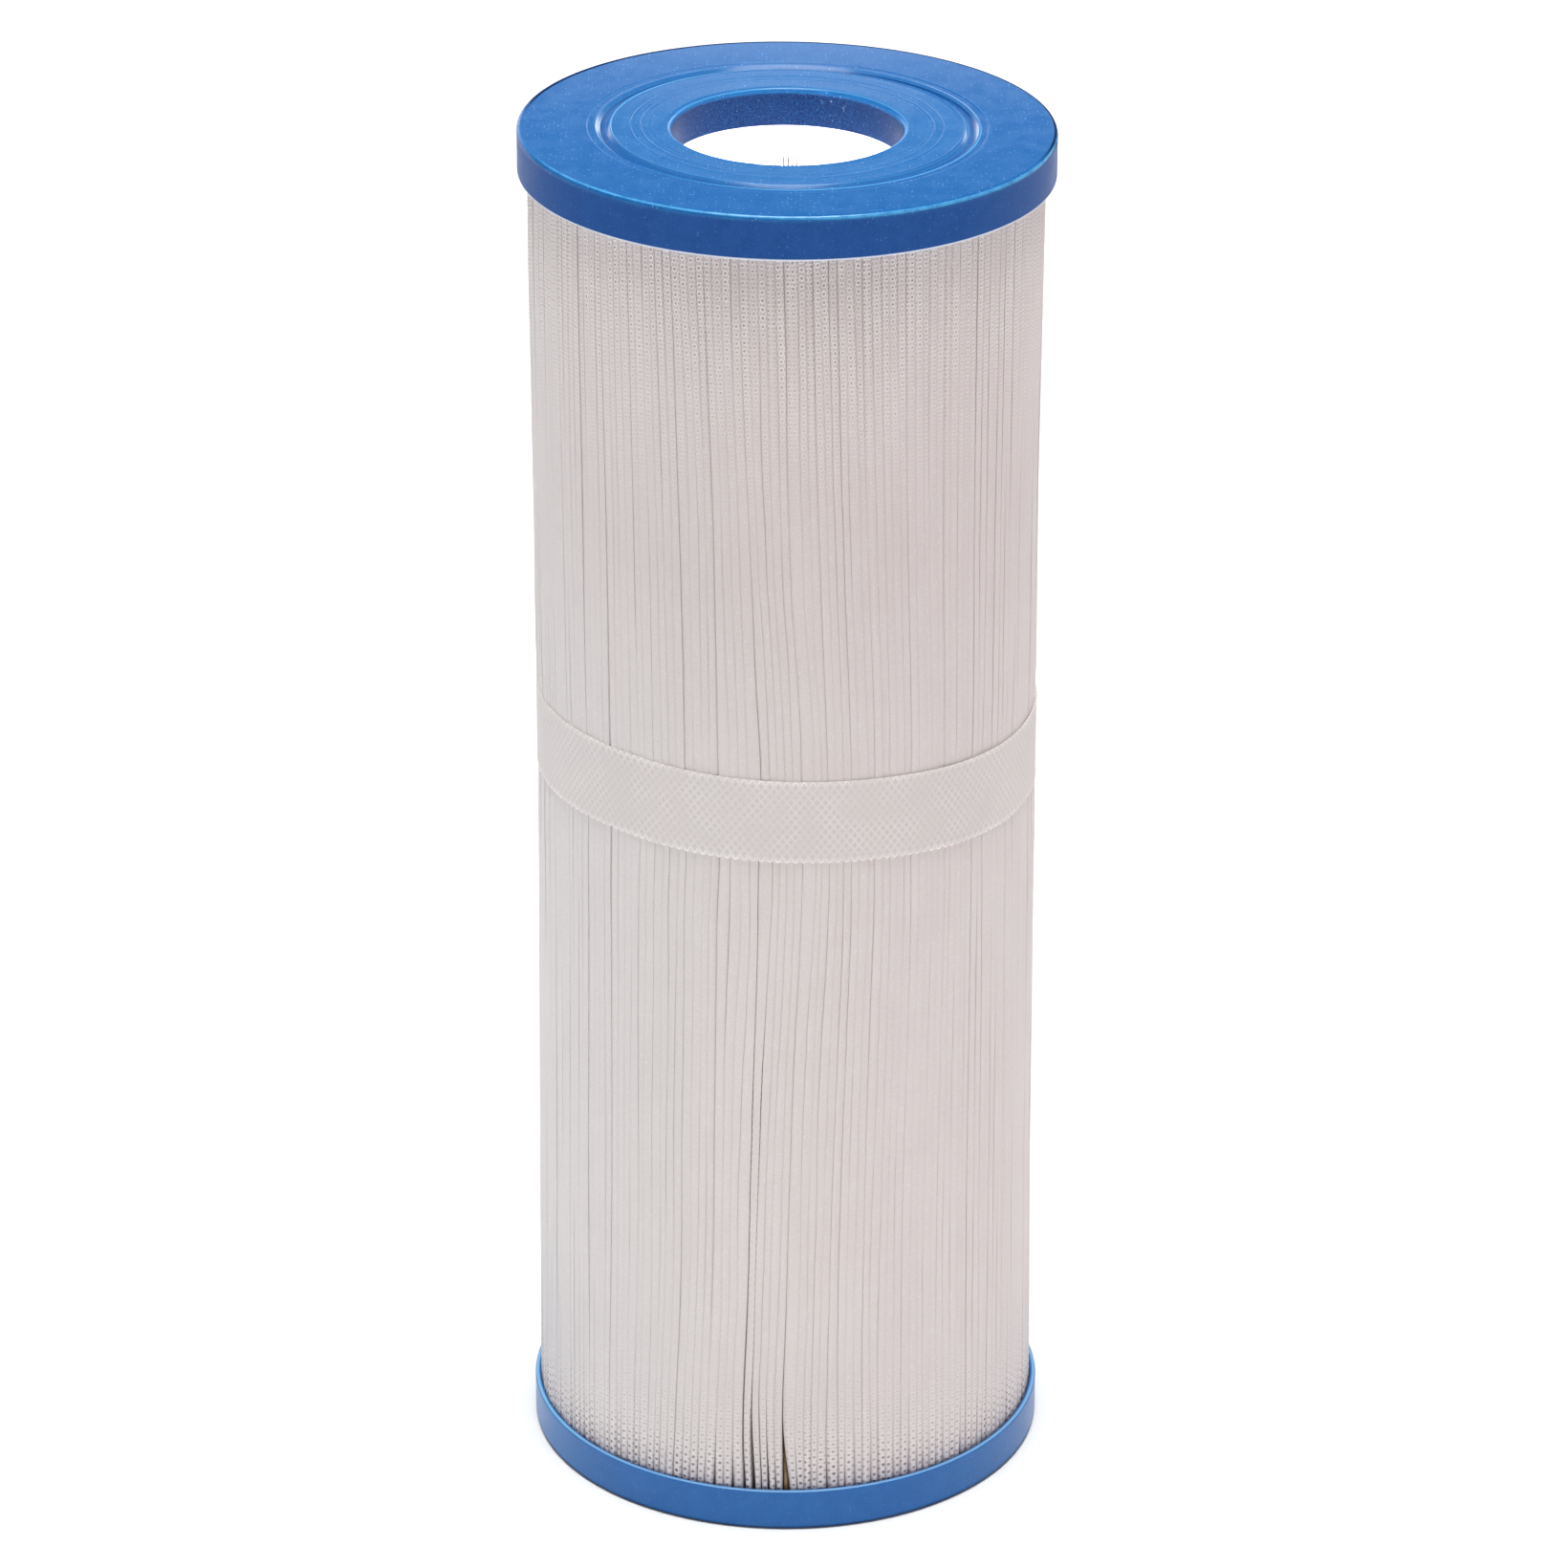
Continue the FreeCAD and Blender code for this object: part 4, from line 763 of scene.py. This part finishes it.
    # painted shade where the fabric runs into the bottom cap, patchy and deeper in the valleys
    cap_join_shade = k.mul(k.ramp(v, 8.5, 19.0, 1.0, 0.0), k.ramp(k.noise(k.scaled(vec, 1.0, 0.4, 1.0), 0.35, 3, 0.6), 0.25, 0.7, 0.35, 1.0))
    cap_join_shade = k.mul(cap_join_shade, k.ramp(k.math("ABSOLUTE", x), 5.0, 46.0, 0.98, 1.0))
    base = k.mix(k.mul(k.mul(cap_join_shade, k.ramp(q, 0.2, 1.0, 0.5, 1.4)), 0.58), base, (0.34, 0.30, 0.37))
    h = k.add(k.mul(fibre, 0.35), k.add(k.mul(k.sub(1.0, dots), 0.9), k.mul(k.mul(halo, rings), 0.4)))
    n = k.bump(h, 0.13)
    return k.finish(Base_Color=base, Roughness=0.86, Normal=n, Specular_IOR_Level=0.18, Sheen_Weight=0.12, Sheen_Roughness=0.5)


def band_net():
    k = Mat("band_knit_polyester")
    vec, u, v = sheet_nodes(k)
    p, r, x, y, z = k.place()
    ua, va = k.math("DIVIDE", u, CELL_U), k.math("DIVIDE", v, CELL_V)
    cosine = lambda t: k.add(0.5, k.mul(k.math("COSINE", k.mul(t, 2 * math.pi)), 0.5))
    ra, rb = cosine(k.add(ua, va)), cosine(k.sub(ua, va))
    strand = k.math("MAXIMUM", ra, rb)
    pit_shade = k.ramp(strand, 0.03, 0.34, 1.0, 0.0)
    crest_highlight = k.ramp(strand, 0.84, 0.99)
    thread = k.noise(k.scaled(vec, 1.0, 1.0, 1.0), 3.6, 3, 0.65, 0.8)
    patchy = k.ramp(k.noise(vec, 0.13, 3, 0.6), 0.36, 0.66, 0.30, 1.05)
    cloud = k.noise(p, 0.06, 2, 0.5)
    base = k.mix(k.ramp(cloud, 0.35, 0.65), (0.782, 0.715, 0.703), (0.808, 0.724, 0.709))
    # painted light: the band is cooler towards its left side, with painted shade across the front middle
    side = k.ramp(x, -60.0, 55.0)
    base = k.mix(side, k.mix(0.5, base, (0.790, 0.775, 0.765)), base)
    base = k.mix(k.ramp(k.math("ABSOLUTE", x), 36.0, 56.0, 1.0, 0.0), base, (0.962, 0.960, 0.958), "MULTIPLY")
    base = k.mix(k.mul(k.ramp(thread, 0.3, 0.75, 1.0, 0.0), 0.28), base, (0.66, 0.61, 0.60))
    # painted shade in the pits of the net and a painted highlight on the crests of its strands
    base = k.mix(k.mul(k.mul(pit_shade, patchy), 0.33), base, (0.50, 0.455, 0.455))
    base = k.mix(k.mul(k.mul(crest_highlight, patchy), 0.46), base, (0.93, 0.885, 0.87))
    # an overlocked edge: one thread swinging in and out once every cell
    swing = k.ramp(k.math("ABSOLUTE", k.sub(k.math("ABSOLUTE", v), k.add(BAND_H / 2 - 0.72, k.mul(cosine(ua), 0.62)))), 0.10, 0.24, 1.0, 0.0)
    hem = k.mul(k.ramp(k.math("ABSOLUTE", v), BAND_H / 2 - 0.55, BAND_H / 2 - 0.15), 0.35)
    base = k.mix(k.mul(k.math("MAXIMUM", swing, hem), k.add(0.25, k.mul(patchy, 0.6))), base, (0.98, 0.955, 0.94))
    n = k.bump(k.add(k.mul(thread, 0.5), k.mul(strand, 0.5)), 0.06)
    return k.finish(Base_Color=base, Roughness=0.82, Normal=n, Specular_IOR_Level=0.22, Sheen_Weight=0.12, Sheen_Roughness=0.5)


def core_plastic():
    k = Mat("core_white_polypropylene")
    p, r, x, y, z = k.place()
    cloud = k.noise(p, 0.15, 3, 0.5)
    grain = k.noise(k.scaled(p, 1.0, 1.0, 0.25), 1.6, 3, 0.6)
    base = k.mix(k.ramp(cloud, 0.3, 0.7), (0.82, 0.79, 0.78), (0.87, 0.85, 0.84))
    base = k.mix(k.mul(k.ramp(grain, 0.6, 0.8), 0.3), base, (0.74, 0.71, 0.70))
    n = k.bump(grain, 0.02)
    return k.finish(Base_Color=base, Roughness=k.ramp(grain, 0.3, 0.7, 0.38, 0.55), Normal=n, Specular_IOR_Level=0.4)


def hot_melt():
    k = Mat("seam_hot_melt")
    p, r, x, y, z = k.place()
    cloud = k.noise(p, 0.5, 3, 0.6)
    fine = k.noise(p, 2.4, 2, 0.6)
    base = k.mix(k.ramp(cloud, 0.3, 0.7), (0.33, 0.230, 0.120), (0.45, 0.330, 0.195))
    n = k.bump(k.add(cloud, k.mul(fine, 0.3)), 0.12)
    return k.finish(Base_Color=base, Roughness=k.ramp(fine, 0.3, 0.7, 0.32, 0.5), Normal=n, Specular_IOR_Level=0.4)


blue, fabric, net_mat, white, glue = blue_plastic(), spunbond(), band_net(), core_plastic(), hot_melt()
for ob, mat in ((cap_top, blue), (cap_bottom, blue), (media, fabric), (band, net_mat), (adhesive, glue)):
    ob.data.materials.append(mat)
for name in ("core_section_lower", "core_section_middle", "core_section_upper"):
    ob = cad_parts[name]
    for s in ob.material_slots:
        s.material = white

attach(cap_top, "root"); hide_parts("top_end_cap")
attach(cap_bottom, "root"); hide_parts("bottom_end_cap")
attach(media, "root"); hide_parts("pleated_media")
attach(adhesive, "root"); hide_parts("seam_adhesive")
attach(band, "root"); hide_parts("retaining_band")

# ---------------------------------------------------------------- floor, light and camera

floor_me = bpy.data.meshes.new("studio_floor")
fn, half_size = 24, 7.0
g = np.linspace(-half_size, half_size, fn)
gx, gy = np.meshgrid(g, g, indexing="ij")
floor_me.from_pydata(np.stack([gx.ravel(), gy.ravel(), np.zeros(fn * fn)], -1).tolist(), [], grid(fn, fn)[:, ::-1].tolist())
floor = bpy.data.objects.new("studio_floor", floor_me)
bpy.context.scene.collection.objects.link(floor)
kf = Mat("floor_paper")
pf, rf, xf, yf, zf = kf.place()
paper = kf.noise(pf, 0.02, 2, 0.5)
# painted light: the floor paper is paler within about 95 to 230 mm of the axis, lifting the cartridge's shadow
floor_me.materials.append(kf.finish(Base_Color=kf.mix(kf.ramp(rf, 95.0, 230.0, 1.0, 0.0), kf.mix(kf.ramp(paper, 0.3, 0.7), (0.78, 0.78, 0.78), (0.80, 0.80, 0.80)), (0.875, 0.875, 0.875)), Roughness=0.9, Specular_IOR_Level=0.0))

world = bpy.data.worlds.new("studio")
bpy.context.scene.world = world
world.use_nodes = True
wt = world.node_tree
wt.nodes.clear()
wo = wt.nodes.new("ShaderNodeOutputWorld")
wb = wt.nodes.new("ShaderNodeBackground")
w2 = wt.nodes.new("ShaderNodeBackground")
w2.inputs[0].default_value = (1.0, 1.0, 1.0, 1)
w2.inputs[1].default_value = 1.0
wp = wt.nodes.new("ShaderNodeLightPath")
wx = wt.nodes.new("ShaderNodeMixShader")
wt.links.new(wp.outputs["Is Camera Ray"], wx.inputs[0])
wt.links.new(wb.outputs[0], wx.inputs[1])
wt.links.new(w2.outputs[0], wx.inputs[2])
wt.links.new(wx.outputs[0], wo.inputs[0])
wc = wt.nodes.new("ShaderNodeTexCoord")
ws = wt.nodes.new("ShaderNodeSeparateXYZ")
wt.links.new(wc.outputs["Generated"], ws.inputs[0])
wr = wt.nodes.new("ShaderNodeMapRange")
wt.links.new(ws.outputs[0], wr.inputs[0])
for s, v in zip(wr.inputs[1:5], (-1.0, 1.0, 0.0, 1.0)):
    s.default_value = v
wm = wt.nodes.new("ShaderNodeMix")
wm.data_type = "RGBA"
wt.links.new(wr.outputs[0], wm.inputs[0])
wm.inputs[6].default_value = (0.96, 1.0, 1.03, 1)
wm.inputs[7].default_value = (1.02, 0.975, 0.97, 1)
wt.links.new(wm.outputs[2], wb.inputs[0])
wb.inputs[1].default_value = 0.175


def aim(ob, position, target):
    ob.location = position
    ob.rotation_mode = "QUATERNION"
    ob.rotation_quaternion = (Vector(target) - Vector(position)).to_track_quat("-Z", "Y")


def lamp(name, kind, position, target, power, size=None, colour=(1, 1, 1), angle=None):
    d = bpy.data.lights.new(name, kind)
    d.energy = power
    d.color = colour
    if kind == "AREA":
        d.shape = "RECTANGLE"
        d.size, d.size_y = size
    if kind == "SUN":
        d.angle = math.radians(angle)
    ob = bpy.data.objects.new(name, d)
    bpy.context.scene.collection.objects.link(ob)
    aim(ob, position, target)
    ob.visible_camera = False
    return ob


lamp("overhead_softbox", "SUN", (0.0, -0.05, 2.0), (0, 0, 0), 3.80, angle=36)
lamp("rear_softbox", "AREA", (0.0, 0.75, 0.45), (0, 0, 0.33), 0.30, size=(1.3, 0.14))
rear_card = lamp("rear_card", "AREA", (0.0, 0.22, 0.368), (0, -0.2, 0.350), 0.235, size=(0.62, 0.050))
strips = [lamp("rear_strip_" + side, "AREA", (way * 0.29, 0.74, 0.383), (0, 0, 0.338), 0.31, size=(0.30, 0.43)) for side, way in (("left", -1), ("right", 1))]
glossed = bpy.data.collections.new("lit_by_strips")
glossed.objects.link(cap_top)
glossed.objects.link(cap_bottom)
for strip in strips + [rear_card]:
    strip.light_linking.receiver_collection = glossed
wash = lamp("floor_wash", "SUN", (0.0, 0.0, 2.0), (0, 0, 0), 0.86, angle=60)
ground = bpy.data.collections.new("lit_floor")
ground.objects.link(floor)
wash.light_linking.receiver_collection = ground
wash.light_linking.blocker_collection = ground
lamp("low_front_card", "AREA", (0.0, -0.42, 0.05), (0, 0, 0.06), 0.14, size=(1.0, 0.08))
inner_light = lamp("bore_fill", "AREA", (0.0, 0.0, 0.262), (0, 0, 0.338), 0.24, size=(0.03, 0.03))
lit = bpy.data.collections.new("lit_inside")
for name in ("core_section_lower", "core_section_middle", "core_section_upper"):
    lit.objects.link(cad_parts[name])
lit.objects.link(media)
inner_light.light_linking.receiver_collection = lit

# camera: long lens, 24.4 degrees above the horizon
F_PX, D, EL = 6976.3, 1609.6, math.radians(24.363)
YAW, PIT, ROL = math.radians(-0.025), math.radians(0.024), math.radians(0.140)
C = np.array([0.0, -D * math.cos(EL), D * math.sin(EL) + 170.0])
fwd = np.array([0.0, math.cos(EL), -math.sin(EL)])
rgt = np.array([1.0, 0.0, 0.0])
upv = np.cross(rgt, fwd)
fwd2, up2 = fwd * math.cos(PIT) + upv * math.sin(PIT), -fwd * math.sin(PIT) + upv * math.cos(PIT)
fwd3, rgt3 = fwd2 * math.cos(YAW) + rgt * math.sin(YAW), -fwd2 * math.sin(YAW) + rgt * math.cos(YAW)
rgt4, up4 = rgt3 * math.cos(ROL) + up2 * math.sin(ROL), -rgt3 * math.sin(ROL) + up2 * math.cos(ROL)
cam_data = bpy.data.cameras.new("camera")
cam_data.sensor_width = 36.0
cam_data.lens = F_PX * 36.0 / 1640.0
cam_data.clip_start, cam_data.clip_end = 0.05, 60
cam = bpy.data.objects.new("camera", cam_data)
bpy.context.scene.collection.objects.link(cam)
m = Matrix.Identity(4)
for col, vec_ in enumerate((rgt4, up4, -fwd3, C * MM)):
    for row in range(3):
        m[row][col] = float(vec_[row])
cam.matrix_world = m
bpy.context.scene.camera = cam
vs = bpy.context.scene.view_settings
vs.view_transform = "Standard"
vs.look = "None"
vs.exposure = 0.0
vs.gamma = 1.0
